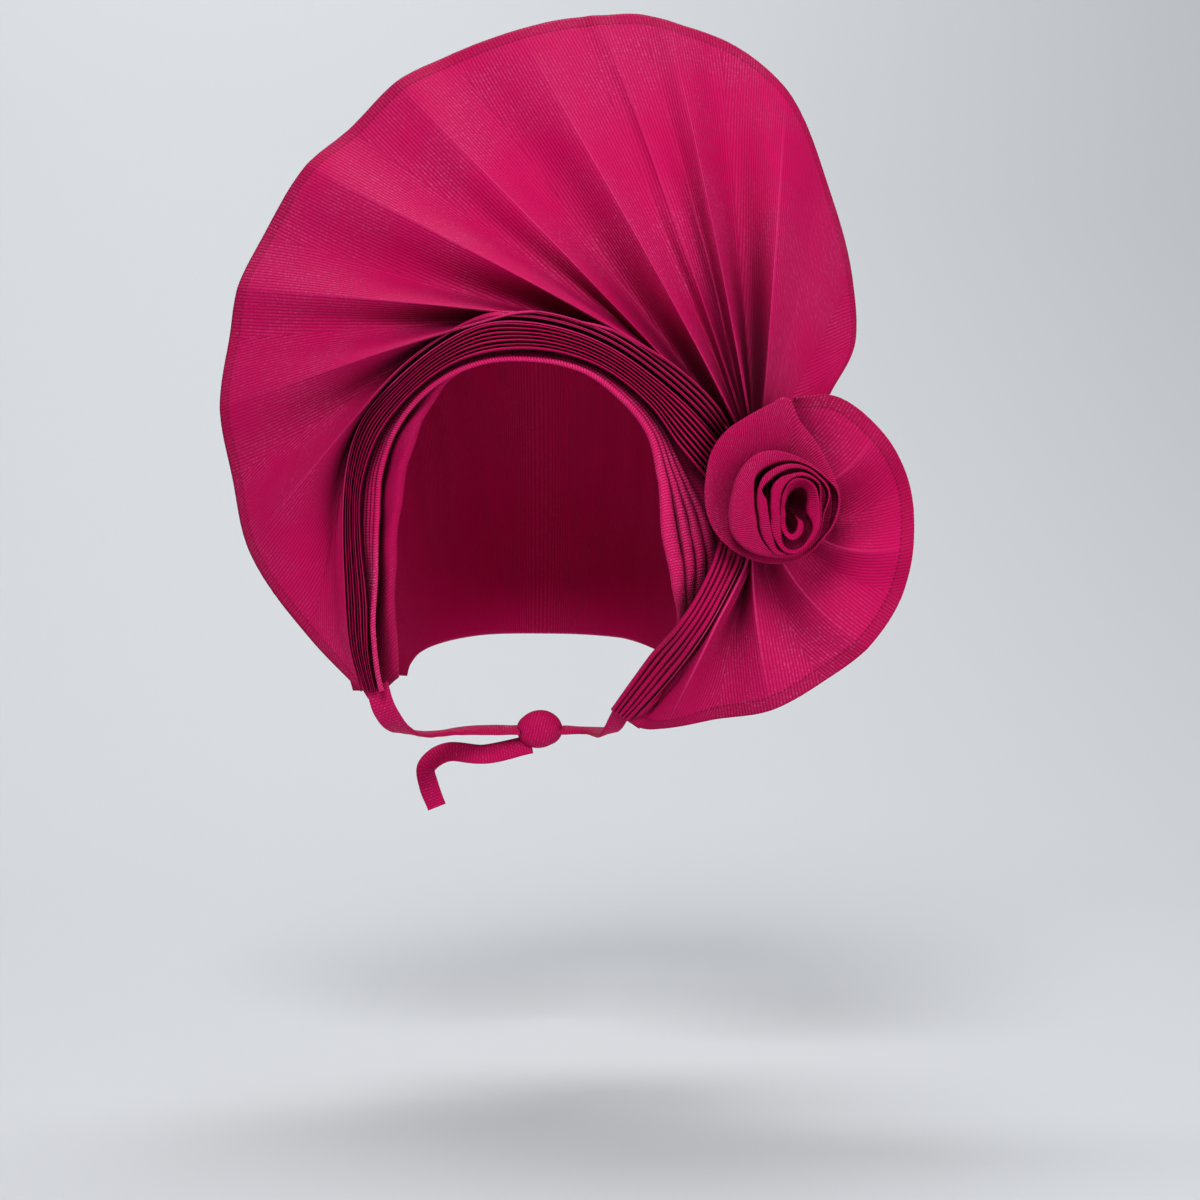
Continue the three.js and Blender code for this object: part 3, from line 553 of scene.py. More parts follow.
def brow_roll(name, roll, seed):
    def point_at(around, along):
        index = round(along * ROLL_STEPS)
        station = roll_stations[index]
        run = roll_lengths[index]
        slant = 0.5 * math.sin(2 * math.pi * around)
        bead = BEAD_RISE * (abs(math.sin(math.pi * (run / BEAD_PITCH + slant))) - 0.6)
        swell = 1 + wander(seed, run / 9.0, 0.12)
        long_half = station["pitch"] * roll["width"] / 2 * swell + bead
        cross_half = station["puff"] * min(roll["width"], 1.1) / 2 + bead
        place = station["pitch"] * roll["place"] + wander(seed + 3, run / 14.0, 0.12 * station["pitch"])
        angle = 2 * math.pi * around
        a = place + long_half * math.cos(angle)
        b = cross_half * math.sin(angle)
        outward = a * math.cos(station["lean"]) + b * math.sin(station["lean"])
        back = a * math.sin(station["lean"]) - b * math.cos(station["lean"])
        return station_point(station, outward, back)

    def uv_at(around, along):
        run = roll_lengths[round(along * ROLL_STEPS)]
        return (run + 0.5 * BEAD_PITCH * math.sin(2 * math.pi * around), around * 9.0)

    return grid_piece(name, ROLL_SIDES, ROLL_STEPS, point_at, uv_at, 0, closed=True)


# Cap

CAP_TAPER = 0.06
CAP_WALL = 1.8
CAP_MIDDLE = Vector((0.0, 5.0, -85.0))
CAP_FOLDS = 14


def cap_front_point(station, depth):
    back = station["pitch"] * 3 * math.sin(station["lean"]) + station["puff"] / 2 + 4 * GAP
    return station_point(
        station,
        1 + depth * math.cos(station["skull"]),
        back + depth * math.sin(station["skull"]),
    )


# Reach of the cap's front border low on the right, past the first roll
SEAM = table("turn reach", [(30, 10), (22, 22), (9, 31), (-5, 27), (-12, 20), (-26, 4)])


def seam_reach(row):
    """How far the front border of the cap runs out to its seam under the pleats."""
    if row["turn"] > 30:
        last = len(BAND) - 1
        middles = [BAND[i]["turn_in"] + BAND[i + 1]["turn_in"] for i in range(last)]
        index = min(range(last), key=lambda i: abs(middles[i] - 2 * row["turn"]))
        low = BAND[index]
        high = BAND[index + 1]
        share = (row["turn"] - low["turn_in"]) / (high["turn_in"] - low["turn_in"])
        reach = lerp(low["reach_in"], high["reach_in"], min(max(share, 0.0), 1.0))
        return max((reach - row["reach"]) * FACE_REACH + 2.0, 1.0)
    index = max(k for k in range(len(SEAM) - 1) if SEAM[k]["turn"] >= row["turn"] or k == 0)
    low = SEAM[index]
    high = SEAM[index + 1]
    share = (row["turn"] - low["turn"]) / (high["turn"] - low["turn"])
    return lerp(low["reach"], high["reach"], min(max(share, 0.0), 1.0))


def arch_point(arch, share):
    angle = math.pi * share
    rise = max(math.sin(angle), 0.0) ** 0.87
    side = math.copysign(abs(math.cos(angle)) ** 0.75, -math.cos(angle))
    tilt = math.radians(arch["tilt"])
    height = CROWN_RISE * arch["height"] * rise
    half = HEAD_BREADTH / 2 * arch["half"] * (1 - CAP_TAPER * (1 - rise))
    return Vector((
        side * half,
        CROWN_RISE * arch["ends"] - height * math.cos(tilt),
        height * math.sin(tilt) - CROWN_RISE,
    ))


def cap():
    columns = 120
    rows = 110
    lines = []
    for j in range(columns + 1):
        side = j / columns
        station = ring_station(side)
        front = cap_front_point(station, 0)
        border = station["outward"] * seam_reach(sample(RING, side))
        seam = front + border + Vector((0.0, 3.0, 0.0))
        keys = [seam, front, cap_front_point(station, 12)]
        keys += [arch_point(arch, side) for arch in ARCHES]
        lines.append(keys)

    def point_at(side, back):
        keys = lines[round(side * columns)]
        point = smooth_row(keys, back * (len(keys) - 1))
        away = (point - CAP_MIDDLE).normalized()
        # Shallow drawn folds that run from the brow to the nape
        fold = 0.5 * math.sin(2 * math.pi * (CAP_FOLDS * side + 0.4 * math.sin(5 * back)))
        fold *= math.sin(math.pi * min(max(back, 0.0), 1.0))
        return point + away * (fold + wander(4.0, 9 * side + 3 * back, 0.8) + CAP_WALL)

    def uv_at(side, back):
        return (side * 420.0, back * 330.0)

    return grid_piece("cap_cloth", columns, rows, point_at, uv_at, CAP_WALL)


# Pressed pleats

def root_edge(turn_in, turn_out, forward):
    half_span = math.radians(abs(turn_out - turn_in) / 2)
    reach = (CORE_RADIUS + GAP) / math.cos(half_span)
    return (
        polar_point(GATHER, turn_in, reach, -FAN_FORWARD * forward),
        polar_point(GATHER, turn_out, reach, -FAN_FORWARD * forward),
    )


def edges_through(keys):
    inner = [key[0] for key in keys]
    outer = [key[1] for key in keys]

    def edges(share):
        place = min(max(share, 0.0), 1.0) * (len(keys) - 1)
        return smooth_row(inner, place), smooth_row(outer, place)

    return edges


band_edges = edges_through([root_edge(203, 127, 1.10)] + [
    (
        face_point(row["turn_in"], row["reach_in"], row["forward_in"]),
        face_point(row["turn_out"], row["reach_out"], row["forward_out"]),
    )
    for row in BAND
])


def cheek_point(turn, reach, forward):
    return polar_point(GATHER, turn, CHEEK_RUN * reach, -BROW_FORWARD * forward)


cheek_edges = edges_through([root_edge(240, 272, 1.05)] + [
    (
        cheek_point(row["turn_in"], row["reach_in"], row["forward"]),
        cheek_point(row["turn_out"], row["reach_out"], row["forward"]),
    )
    for row in CHEEK
])

# One pressed leaf: share across its width, share of its depth
LEAF = [(0.0, 0.97), (0.02, 0.6), (0.05, 0.25), (0.12, 0.08), (0.30, 0.01), (0.50, 0.0),
        (0.70, 0.01), (0.88, 0.08), (0.95, 0.25), (0.98, 0.6), (1.0, 0.97)]


def pressed_pleats(name, edges, leaves, rows, run, seed):
    width = 0.66 / leaves
    columns = leaves * len(LEAF) + 2

    def point_at(across, along):
        index = round(across * columns)
        leaf, step = divmod(index, len(LEAF))
        inner, outer = edges(along)
        if leaf == leaves:
            away = (outer - inner).normalized()
            reach = (1.0, 3.5, 6.5)[step] * min(1.0, along * 12)
            return outer + away * reach + Vector((0.0, BLADE_DEPTH * 0.98, 0.0))
        spread, depth = LEAF[step]
        open_end = min(1.0, along * 12)
        start = leaf * (1 - width) / (leaves - 1)
        start += wander(seed + leaf, along * 9.0, 0.22 * width) * open_end
        fraction = min(max(start + width * spread, 0.0), 1.0)
        tip = ((leaf % 2) * 0.12 + 0.06 + wander(seed + 11 + leaf, along * 6.0, 0.10)) * open_end
        back = BLADE_DEPTH * (tip + (1 - tip) * depth)
        return inner + (outer - inner) * fraction + Vector((0.0, back, 0.0))

    def uv_at(across, along):
        index = round(across * columns)
        leaf, step = divmod(index, len(LEAF))
        return (along * run, leaf * 15.0 + 14.0 * step / (len(LEAF) - 1))

    return grid_piece(name, columns, rows, point_at, uv_at, 0.45)


# Fans

LANE_STEPS = 60
FREE_STEPS = 24
CREASE_STEPS = 120
LANE_START = 0.05


def path_lengths(points):
    lengths = [0.0]
    for before, after in zip(points, points[1:]):
        lengths.append(lengths[-1] + (after - before).length)
    return lengths


def even_path(points, steps):
    lengths = path_lengths(points)
    even = []
    index = 0
    for k in range(steps + 1):
        target = lengths[-1] * k / steps
        while index < len(points) - 2 and lengths[index + 1] < target:
            index += 1
        span = lengths[index + 1] - lengths[index]
        even.append(points[index].lerp(points[index + 1], (target - lengths[index]) / span))
    return even


def soften_path(points, passes):
    for _ in range(passes):
        middle = [
            (points[i - 1] + points[i] * 2 + points[i + 1]) / 4
            for i in range(1, len(points) - 1)
        ]
        points = [points[0]] + middle + [points[-1]]
    return points


def crease_path(fan, row, index):
    root_turn = lerp(fan["root_from"], fan["root_to"], index / (len(fan["rows"]) - 1))
    points = [polar_point(GATHER, root_turn, CORE_RADIUS + GAP, -FAN_FORWARD * fan["root_forward"])]
    for k in range(LANE_STEPS + 1):
        share = lerp(LANE_START, 1.0, k / LANE_STEPS)
        if share > row["leave"] and not (row["leave"] == 1 and k == LANE_STEPS):
            break
        side = outward_of(lambda at: fan["edges"](at)[1], share) * fan["side"]
        point = fan["edges"](share)[1] + side * (fan["lane_gap"] + LANE_PITCH * index)
        point.y += fan["lane_back"]
        points.append(point)
    along_pleats = path_lengths(points)[-1]
    if row["leave"] < 1:
        start = points[-1]
        rim = polar_point(GATHER, row["turn"], fan["reach"] * row["reach"], FAN_SWEEP * row["back"])
        bend = start.lerp(rim, 0.5)
        if row.get("bend_right") or row.get("bend_down"):
            bend.x = GATHER.x + fan["reach"] * row["bend_right"]
            bend.z = GATHER.z - fan["reach"] * row["bend_down"]
        for k in range(1, FREE_STEPS + 1):
            share = k / FREE_STEPS
            point = start.lerp(bend, share).lerp(bend.lerp(rim, share), share)
            point.y = lerp(start.y, rim.y, share ** 1.5)
            point.y -= fan["bulge"] * row["swell"] * math.sin(math.pi * share ** 0.6)
            points.append(point)
    bound = along_pleats / path_lengths(points)[-1] if row["leave"] < 1 else 1.0
    return soften_path(even_path(points, CREASE_STEPS), 12), bound


def folded_fan(fan):
    rows = fan["rows"]
    creases = [crease_path(fan, row, index) for index, row in enumerate(rows)]
    count = len(rows)

    def at(index, share):
        path = creases[min(max(index, 0), count - 1)][0]
        place = share * CREASE_STEPS
        step = min(int(place), CREASE_STEPS - 1)
        return path[step].lerp(path[step + 1], place - step)

    def tangent(before, middle, after, span):
        first = middle - before
        second = after - middle
        one = max(first.length, 1e-6)
        two = max(second.length, 1e-6)
        return (first * (two / one) + second * (one / two)) * (span / (one + two))

    def between(index, u, share):
        b = at(index, share)
        c = at(index + 1, share)
        span = (c - b).length
        start = tangent(at(index - 1, share), b, c, span) if index > 0 else c - b
        end = tangent(b, c, at(index + 2, share), span) if index < count - 2 else c - b
        u2 = u * u
        u3 = u2 * u
        return (
            b * (2 * u3 - 3 * u2 + 1) + start * (u3 - 2 * u2 + u)
            + c * (3 * u2 - 2 * u3) + end * (u3 - u2)
        )

    def fold_at(index, u, free):
        """Fold between two creases: a crisp ridge near the pleats that softens towards the rim."""
        low = rows[index]["fold"]
        high = rows[index + 1]["fold"]
        rising = high > low
        place = u if rising else 1 - u
        crisp = math.sin(math.pi / 2 * place)
        soft = (1 - math.cos(math.pi * place)) / 2
        shape = lerp(crisp, soft, 0.08 + 0.62 * free)
        return lerp(low, high, shape) if rising else lerp(high, low, shape)

    def surface(column, share):
        index = min(int(column), count - 2)
        u = column - index
        point = between(index, u, share)
        bound = lerp(creases[index][1], creases[index + 1][1], u)
        free = max(share - bound, 0.0) / max(1 - bound, 0.01)
        point.y += fan["fold_depth"] * fold_at(index, u, free) * sample(FOLD_GROWTH, free)["depth"]
        loose = min(free * 2, 1.0)
        point.y += loose * wander(fan["seed"], column * 1.3 + share * 2.1, 1.6)
        point.y += loose * wander(fan["seed"] + 5, column * 3.1 - share * 5.3, 0.6)
        return point

    return surface


# Places across one fold: close together at its ends, so that a pressed ridge stays crisp
FOLD_STEPS = [0.004, 0.03, 0.10, 0.22, 0.38, 0.54, 0.70, 0.84, 0.95, 0.996]


def fan_piece(name, fan, rows):
    surface = folded_fan(fan)
    creases = fan["rows"]
    last = len(creases) - 1
    places = [i + step for i in range(last) for step in FOLD_STEPS]
    columns = len(places) - 1
    ridges = [i for i in range(last + 1) if creases[i]["fold"] <= min(
        creases[max(i - 1, 0)]["fold"], creases[min(i + 1, last)]["fold"])]
    valleys = [
        max(range(before, after + 1), key=lambda i: creases[i]["fold"])
        for before, after in zip(ridges, ridges[1:])
    ]

    def ridge_of(place):
        return ridges[sum(1 for valley in valleys if place > valley)]

    points = [[surface(place, j / rows) for place in places] for j in range(rows + 1)]
    runs = [path_lengths(line) for line in points]
    nearest = [
        min(range(columns + 1), key=lambda column: abs(places[column] - ridge_of(place)))
        for place in places
    ]
    downs = []
    for column in range(columns + 1):
        downs.append(path_lengths([points[j][column] for j in range(rows + 1)]))
    length = fan["reach"]

    def point_at(across, along):
        return points[round(along * rows)][round(across * columns)]

    def uv_at(across, along):
        column = round(across * columns)
        row = round(along * rows)
        ridge = nearest[column]
        run = runs[rows][ridge] + runs[row][column] - runs[row][ridge]
        return (run, length + downs[column][row] - downs[column][rows])

    def ridge_highlight_at(across, along):
        """Painted highlight along a ridge, where the pressed crease catches light, strongest between the
        pleats and the rim.
        """
        place = places[round(across * columns)]
        if abs(place - ridge_of(place)) > 0.01:
            return 0.0
        return math.sin(math.pi * min(max(along, 0.0), 1.0)) ** 0.5

    return grid_piece(name, columns, rows, point_at, uv_at, CLOTH, ridge_highlight_at=ridge_highlight_at)


LARGE = {
    "rows": FAN, "edges": band_edges, "side": -1, "reach": FAN_REACH, "fold_depth": FAN_FOLD,
    "bulge": FAN_BULGE, "root_from": 117, "root_to": 36, "root_forward": 0.85,
    "lane_gap": 1.1, "lane_back": 0.5, "seed": 2,
}
SMALL = {
    "rows": SMALL_FAN, "edges": cheek_edges, "side": 1, "reach": SMALL_REACH, "fold_depth": SMALL_FOLD,
    "bulge": 0, "root_from": 280, "root_to": 420, "root_forward": 1.0,
    "lane_gap": 1.0, "lane_back": 1.0, "seed": 9,
}


# Rosette: one doubled strip rolled from the curl in its heart out to the collar. Turn runs clockwise
# from the top; outer and inner are the edges of the strip's front, rise its height and dip how far
# the inner edge lies behind the outer one
ROSE = table("turn outer inner rise dip", [
    (-240, 0.17, 0.05, 0.80, 0.0),
    (-210, 0.28, 0.15, 0.88, 0.0),
    (-180, 0.335, 0.25, 0.92, 0.0),
    (-150, 0.25, 0.15, 0.92, 0.0),
    (-120, 0.18, 0.09, 0.90, 0.0),
    (-90, 0.155, 0.07, 0.88, 0.0),
    (-60, 0.175, 0.09, 0.86, 0.0),
    (-35, 0.24, 0.14, 0.86, 0.0),
    (-15, 0.33, 0.20, 0.90, 0.10),
    (0, 0.43, 0.28, 0.97, 0.22),
    (20, 0.47, 0.36, 1.00, 0.25),
    (38, 0.46, 0.32, 1.00, 0.25),
    (60, 0.39, 0.22, 1.00, 0.22),
    (85, 0.35, 0.19, 1.00, 0.16),
    (105, 0.36, 0.24, 1.00, 0.10),
    (120, 0.38, 0.30, 1.00, 0.04),
    (145, 0.42, 0.365, 0.98, 0.0),
    (165, 0.475, 0.43, 0.96, 0.0),
    (180, 0.50, 0.45, 0.94, 0.0),
    (195, 0.47, 0.40, 0.92, -0.02),
    (210, 0.40, 0.27, 0.92, -0.04),
    (225, 0.35, 0.20, 0.92, -0.06),
    (243, 0.30, 0.16, 0.92, -0.08),
    (261, 0.265, 0.15, 0.92, -0.08),
    (285, 0.28, 0.16, 0.92, -0.08),
    (307, 0.33, 0.19, 0.92, -0.06),
    (326, 0.43, 0.25, 0.92, -0.04),
    (342, 0.48, 0.34, 0.92, 0.0),
    (360, 0.51, 0.44, 0.92, 0.0),
    (375, 0.545, 0.49, 0.91, 0.0),
    (390, 0.545, 0.505, 0.90, 0.0),
    (402, 0.53, 0.50, 0.88, 0.0),
    (412, 0.48, 0.45, 0.86, 0.0),
    (425, 0.42, 0.39, 0.82, 0.0),
    (450, 0.39, 0.35, 0.78, 0.0),
    (480, 0.41, 0.37, 0.76, 0.0),
    (510, 0.46, 0.42, 0.78, 0.0),
    (540, 0.52, 0.47, 0.82, 0.0),
    (560, 0.54, 0.48, 0.84, -0.02),
    (576, 0.50, 0.385, 0.84, -0.06),
    (590, 0.47, 0.33, 0.84, -0.08),
    (605, 0.44, 0.295, 0.84, -0.08),
    (624, 0.415, 0.286, 0.84, -0.08),
    (645, 0.45, 0.31, 0.84, -0.08),
    (660, 0.50, 0.366, 0.84, -0.06),
    (668, 0.53, 0.470, 0.84, -0.03),
    (675, 0.56, 0.490, 0.84, 0.0),
    (686, 0.60, 0.50, 0.84, 0.0),
    (706, 0.63, 0.54, 0.84, 0.0),
    (720, 0.64, 0.570, 0.84, 0.0),
    (736, 0.63, 0.585, 0.84, 0.0),
    (756, 0.60, 0.565, 0.83, 0.0),
    (770, 0.59, 0.560, 0.81, 0.0),
    (782, 0.56, 0.53, 0.78, 0.0),
    (795, 0.49, 0.46, 0.72, 0.0),
    (810, 0.43, 0.40, 0.66, 0.0),
    (840, 0.44, 0.40, 0.62, 0.0),
    (870, 0.49, 0.45, 0.62, 0.0),
    (900, 0.54, 0.50, 0.68, 0.0),
    (920, 0.58, 0.52, 0.70, -0.05),
    (934, 0.63, 0.512, 0.70, -0.10),
    (951, 0.71, 0.483, 0.70, -0.13),
    (970, 0.78, 0.455, 0.70, -0.15),
    (984, 0.79, 0.438, 0.70, -0.15),
    (1000, 0.79, 0.465, 0.70, -0.14),
    (1012, 0.80, 0.50, 0.71, -0.12),
    (1024, 0.835, 0.56, 0.72, -0.08),
    (1034, 0.86, 0.63, 0.73, -0.04),
    (1041, 0.872, 0.655, 0.74, 0.0),
    (1052, 0.88, 0.665, 0.75, 0.03),
    (1067, 0.83, 0.67, 0.76, 0.03),
    (1080, 0.765, 0.670, 0.76, 0.02),
    (1097, 0.70, 0.650, 0.76, 0.0),
    (1112, 0.665, 0.630, 0.75, 0.0),
    (1126, 0.655, 0.625, 0.74, 0.0),
    (1140, 0.675, 0.645, 0.73, 0.0),
    (1150, 0.664, 0.634, 0.72, 0.0),
    (1170, 0.600, 0.570, 0.68, 0.0),
    (1188, 0.560, 0.53, 0.60, 0.0),
    (1208, 0.53, 0.49, 0.50, 0.0),
    (1230, 0.55, 0.50, 0.44, 0.0),
    (1258, 0.60, 0.52, 0.40, 0.0),
    (1280, 0.66, 0.50, 0.36, 0.0),
    (1300, 0.74, 0.54, 0.32, 0.02),
    (1314, 0.82, 0.60, 0.29, 0.05),
    (1330, 0.92, 0.66, 0.26, 0.09),
    (1346, 1.02, 0.68, 0.25, 0.13),
    (1363, 1.107, 0.70, 0.25, 0.16),
    (1376, 1.18, 0.72, 0.25, 0.17),
    (1390, 1.285, 0.75, 0.25, 0.18),
    (1403, 1.345, 0.77, 0.25, 0.18),
    (1418, 1.375, 0.76, 0.26, 0.18),
    (1430, 1.44, 0.72, 0.28, 0.17),
    (1437, 1.51, 0.68, 0.30, 0.16),
    (1441, 1.46, 0.66, 0.32, 0.15),
    (1446, 1.22, 0.64, 0.34, 0.12),
    (1459, 1.01, 0.62, 0.38, 0.08),
    (1472, 0.86, 0.60, 0.42, 0.04),
    (1490, 0.75, 0.60, 0.42, 0.0),
    (1504, 0.71, 0.60, 0.38, 0.0),
    (1520, 0.66, 0.56, 0.32, 0.0),
    (1540, 0.61, 0.52, 0.24, 0.0),
])

ROSE_REACH = 34.0
ROSE_RISE = 24.0
ROSE_BASE = -60.6
ROSE_HEART = Vector((19.3, 0.0, -18.3))
ROSE_ROWS = 1300

# Section of the doubled strip: share of the way from its outer to its inner edge, share of its depth
STRIP = [(0.10, 1.0), (0.06, 0.80), (0.03, 0.55), (0.01, 0.32), (0.0, 0.17), (0.01, 0.08), (0.05, 0.03),
         (0.14, 0.005), (0.30, 0.0), (0.50, 0.004), (0.70, 0.0), (0.86, 0.0), (0.95, 0.02), (0.99, 0.06),
         (1.0, 0.14), (0.98, 0.30), (0.95, 0.55), (0.92, 0.80), (0.88, 1.0)]


def rosette():
    first = ROSE[0]["turn"]
    last = ROSE[-1]["turn"]
    marks = []
    for i in range(ROSE_ROWS + 1):
        turn = lerp(first, last, i / ROSE_ROWS)
        index = max(k for k in range(len(ROSE) - 1) if ROSE[k]["turn"] <= turn)
        index = min(index, len(ROSE) - 2)
        span = ROSE[index + 1]["turn"] - ROSE[index]["turn"]
        share = (turn - ROSE[index]["turn"]) / span
        row = {}
        for name in ("outer", "inner", "rise", "dip"):
            b = ROSE[index][name]
            c = ROSE[index + 1][name]
            slope_b = (c - b) / span
            slope_c = slope_b
            if index > 0:
                wide = ROSE[index + 1]["turn"] - ROSE[index - 1]["turn"]
                slope_b = (c - ROSE[index - 1][name]) / wide
            if index < len(ROSE) - 2:
                wide = ROSE[index + 2]["turn"] - ROSE[index]["turn"]
                slope_c = (ROSE[index + 2][name] - b) / wide
            u2 = share * share
            u3 = u2 * share
            row[name] = (b * (2 * u3 - 3 * u2 + 1) + slope_b * span * (u3 - 2 * u2 + share)
                         + c * (3 * u2 - 2 * u3) + slope_c * span * (u3 - u2))
        row["turn"] = math.radians(turn)
        marks.append(row)
    runs = [0.0]
    for before, after in zip(marks, marks[1:]):
        reach = ROSE_REACH * (before["outer"] + after["outer"]) / 2
        runs.append(runs[-1] + reach * (after["turn"] - before["turn"]))

    def place(column, index):
        row = marks[index]
        side, depth = STRIP[column]
        reach = ROSE_REACH * lerp(row["outer"], row["inner"], side)
        front = row["rise"] - row["dip"] * side
        front += 0.012 * math.sin(runs[index] / 5.0 + side * 3) * math.sin(math.pi * side)
        drop = min(front, 0.6)
        height = front - drop * depth
        return Vector((
            GATHER.x + ROSE_HEART.x + reach * math.sin(row["turn"]),
            ROSE_BASE - ROSE_RISE * max(height, 0.0),
            GATHER.z + ROSE_HEART.z + reach * math.cos(row["turn"]),
        ))

    columns = len(STRIP) - 1
    middle = columns // 2
    flat = []
    for index in range(ROSE_ROWS + 1):
        line = path_lengths([place(column, index) for column in range(columns + 1)])
        flat.append([run - line[middle] for run in line])

    def point_at(across, along):
        return place(round(across * columns), round(along * ROSE_ROWS))

    def uv_at(across, along):
        index = round(along * ROSE_ROWS)
        run = flat[index][round(across * columns)]
        return (runs[index] + 0.5 * run, run)

    return grid_piece("rosette_cloth", columns, ROSE_ROWS, point_at, uv_at, 0.5)


# Straps

band_foot = band_edges(1.0)
cheek_foot = cheek_edges(1.0)
BAND_END = band_foot[0].lerp(band_foot[1], 0.5)
CHEEK_END = cheek_foot[0].lerp(cheek_foot[1], 0.5)
KNOT_HALF = KNOT.x / 2 - 1

STRAP_NAMES = "x y z face_x face_y face_z"
STRAP_LEFT = table(STRAP_NAMES, [
    (BAND_END.x + 3, BAND_END.y + 4, BAND_END.z + 3, 0, -1, 0),
    (BAND_END.x + 7, BAND_END.y + 5, BAND_END.z - 9, -0.2, -1, -0.2),
    (BAND_END.x + 14, BAND_END.y + 14, BAND_END.z - 18, -0.4, -0.8, -0.7),
    (BAND_END.x + 25, NAPE_BACK * 0.62, -NAPE_DROP - 1, -0.4, -0.4, -1),
    (BAND_END.x + 44, NAPE_BACK * 0.92, -NAPE_DROP, 0, 0.2, -1),
    (-KNOT_HALF, NAPE_BACK, -NAPE_DROP, 0, 0.3, -1),
])
STRAP_RIGHT = table(STRAP_NAMES, [
    (CHEEK_END.x + 1, CHEEK_END.y + 4, CHEEK_END.z + 2, 0.3, -1, -0.3),
    (CHEEK_END.x - 5, CHEEK_END.y + 16, CHEEK_END.z - 8, 0.4, -0.6, -1),
    (CHEEK_END.x - 12, NAPE_BACK * 0.85, -NAPE_DROP, 0.2, 0, -1),
    (KNOT_HALF, NAPE_BACK, -NAPE_DROP, 0, 0.3, -1),
])
TAIL_TOP = -NAPE_DROP - KNOT.z / 2 - STRAP_WIDTH * 0.2
STRAP_TAIL = table(STRAP_NAMES, [
    (-4, NAPE_BACK, TAIL_TOP + 4, 0, -1, 0.2),
    (-26, NAPE_BACK + 3, TAIL_TOP - 1, 0, -1, 0.2),
    (-44, NAPE_BACK + 3, TAIL_TOP, -0.3, -1, 0.2),
    (-54, NAPE_BACK + 1, TAIL_TOP - TAIL_LENGTH * 0.25, -0.3, -1, 0),
    (-53, NAPE_BACK - 1, TAIL_TOP - TAIL_LENGTH * 0.6, -0.2, -1, 0),
    (-49, NAPE_BACK - 2, TAIL_TOP - TAIL_LENGTH, -0.2, -1, 0),
])


def flat_strap(name, rows, width):
    """Doubled strap with soft edges that follows its rows, facing their direction."""
    steps = 160
    sides = 20
    frames = []
    for i in range(steps + 1):
        share = i / steps
        row = sample(rows, share)
        ahead = sample(rows, min(share + 0.01, 1.0))
        behind = sample(rows, max(share - 0.01, 0.0))
        along = Vector([ahead[axis] - behind[axis] for axis in "xyz"]).normalized()
        wide = along.cross(Vector((row["face_x"], row["face_y"], row["face_z"]))).normalized()
        centre = Vector((row["x"], row["y"], row["z"]))
        frames.append((centre, wide, wide.cross(along)))
    runs = path_lengths([f[0] for f in frames])

    def point_at(around, along):
        index = round(along * steps)
        centre, wide, normal = frames[index]
        angle = 2 * math.pi * around
        flat = math.copysign(abs(math.cos(angle)) ** 0.35, math.cos(angle))
        thick = math.copysign(abs(math.sin(angle)) ** 0.5, math.sin(angle))
        curl = 0.5 * flat * flat + wander(61, runs[index] / 9, 0.5) * flat
        a = width / 2 * flat * (1 + wander(62, runs[index] / 12, 0.06))
        return centre + wide * a + normal * (STRAP_WALL / 2 * thick + curl)

    def uv_at(around, along):
        return (runs[round(along * steps)], around * 2 * width)

    return grid_piece(name, sides, steps, point_at, uv_at, 0, closed=True)


def knot():
    def point_at(around, along):
        angle = 2 * math.pi * around
        rise = math.pi * (0.02 + 0.96 * along)
        wraps = abs(math.sin(1.5 * (angle + 2.4 * along)))
        swell = 0.90 + 0.14 * wraps ** 0.6
        side = math.sin(rise) * swell
        return Vector((
            -KNOT.x / 2 * math.cos(rise),
            NAPE_BACK + KNOT.y / 2 * side * math.cos(angle),
            -NAPE_DROP + KNOT.z / 2 * side * math.sin(angle),
        ))

    def uv_at(around, along):
        return (along * 30.0 + around * 12.0, around * 45.0)

    return grid_piece("strap_knot_cloth", 72, 40, point_at, uv_at, 0, closed=True)


def gather_wrap():
    """Core of the gather, wound with a strip of the cloth."""
    turns = 5
    steps = 120

    def point_at(around, along):
        angle = 2 * math.pi * around
        lap = (along * turns + around) % 1.0
        reach = (CORE_RADIUS - 0.3 + 0.7 * lap) * (0.35 if along in (0.0, 1.0) else 1.0)
        depth = CORE_LENGTH * min(max(along * 1.02 - 0.01, 0.0), 1.0)
        return GATHER + Vector((reach * math.cos(angle), -CORE_FRONT + depth, reach * math.sin(angle)))

    def uv_at(around, along):
        return (around * 2 * math.pi * CORE_RADIUS, along * CORE_LENGTH)

    return grid_piece("gather_wrap", 64, steps, point_at, uv_at, 0, closed=True)


# Build

large_fan = fan_piece("large_fan_cloth", LARGE, 150)
fan_cloth = cloth_material("fan_cloth", FUCHSIA, 0.42, hem=FAN_REACH)
finish_piece(large_fan, fan_cloth, "fan_cloth", "large_fan")

small_fan = fan_piece("small_fan_cloth", SMALL, 90)
small_cloth = cloth_material("small_fan_cloth", FUCHSIA, 0.42, hem=SMALL_REACH)
finish_piece(small_fan, small_cloth, "fan_cloth", "small_fan")

pleat_cloth = cloth_material("pleat_cloth", FUCHSIA, 0.2, relief=0.2)
band = pressed_pleats("pleat_band_leaves", band_edges, BAND_LEAVES, 260, 420.0, 1)
finish_piece(band, pleat_cloth, "pleat_cloth", "pleat_band")
cheek = pressed_pleats("cheek_pleat_leaves", cheek_edges, CHEEK_LEAVES, 110, 130.0, 31)
finish_piece(cheek, pleat_cloth, "pleat_cloth", "cheek_pleats")

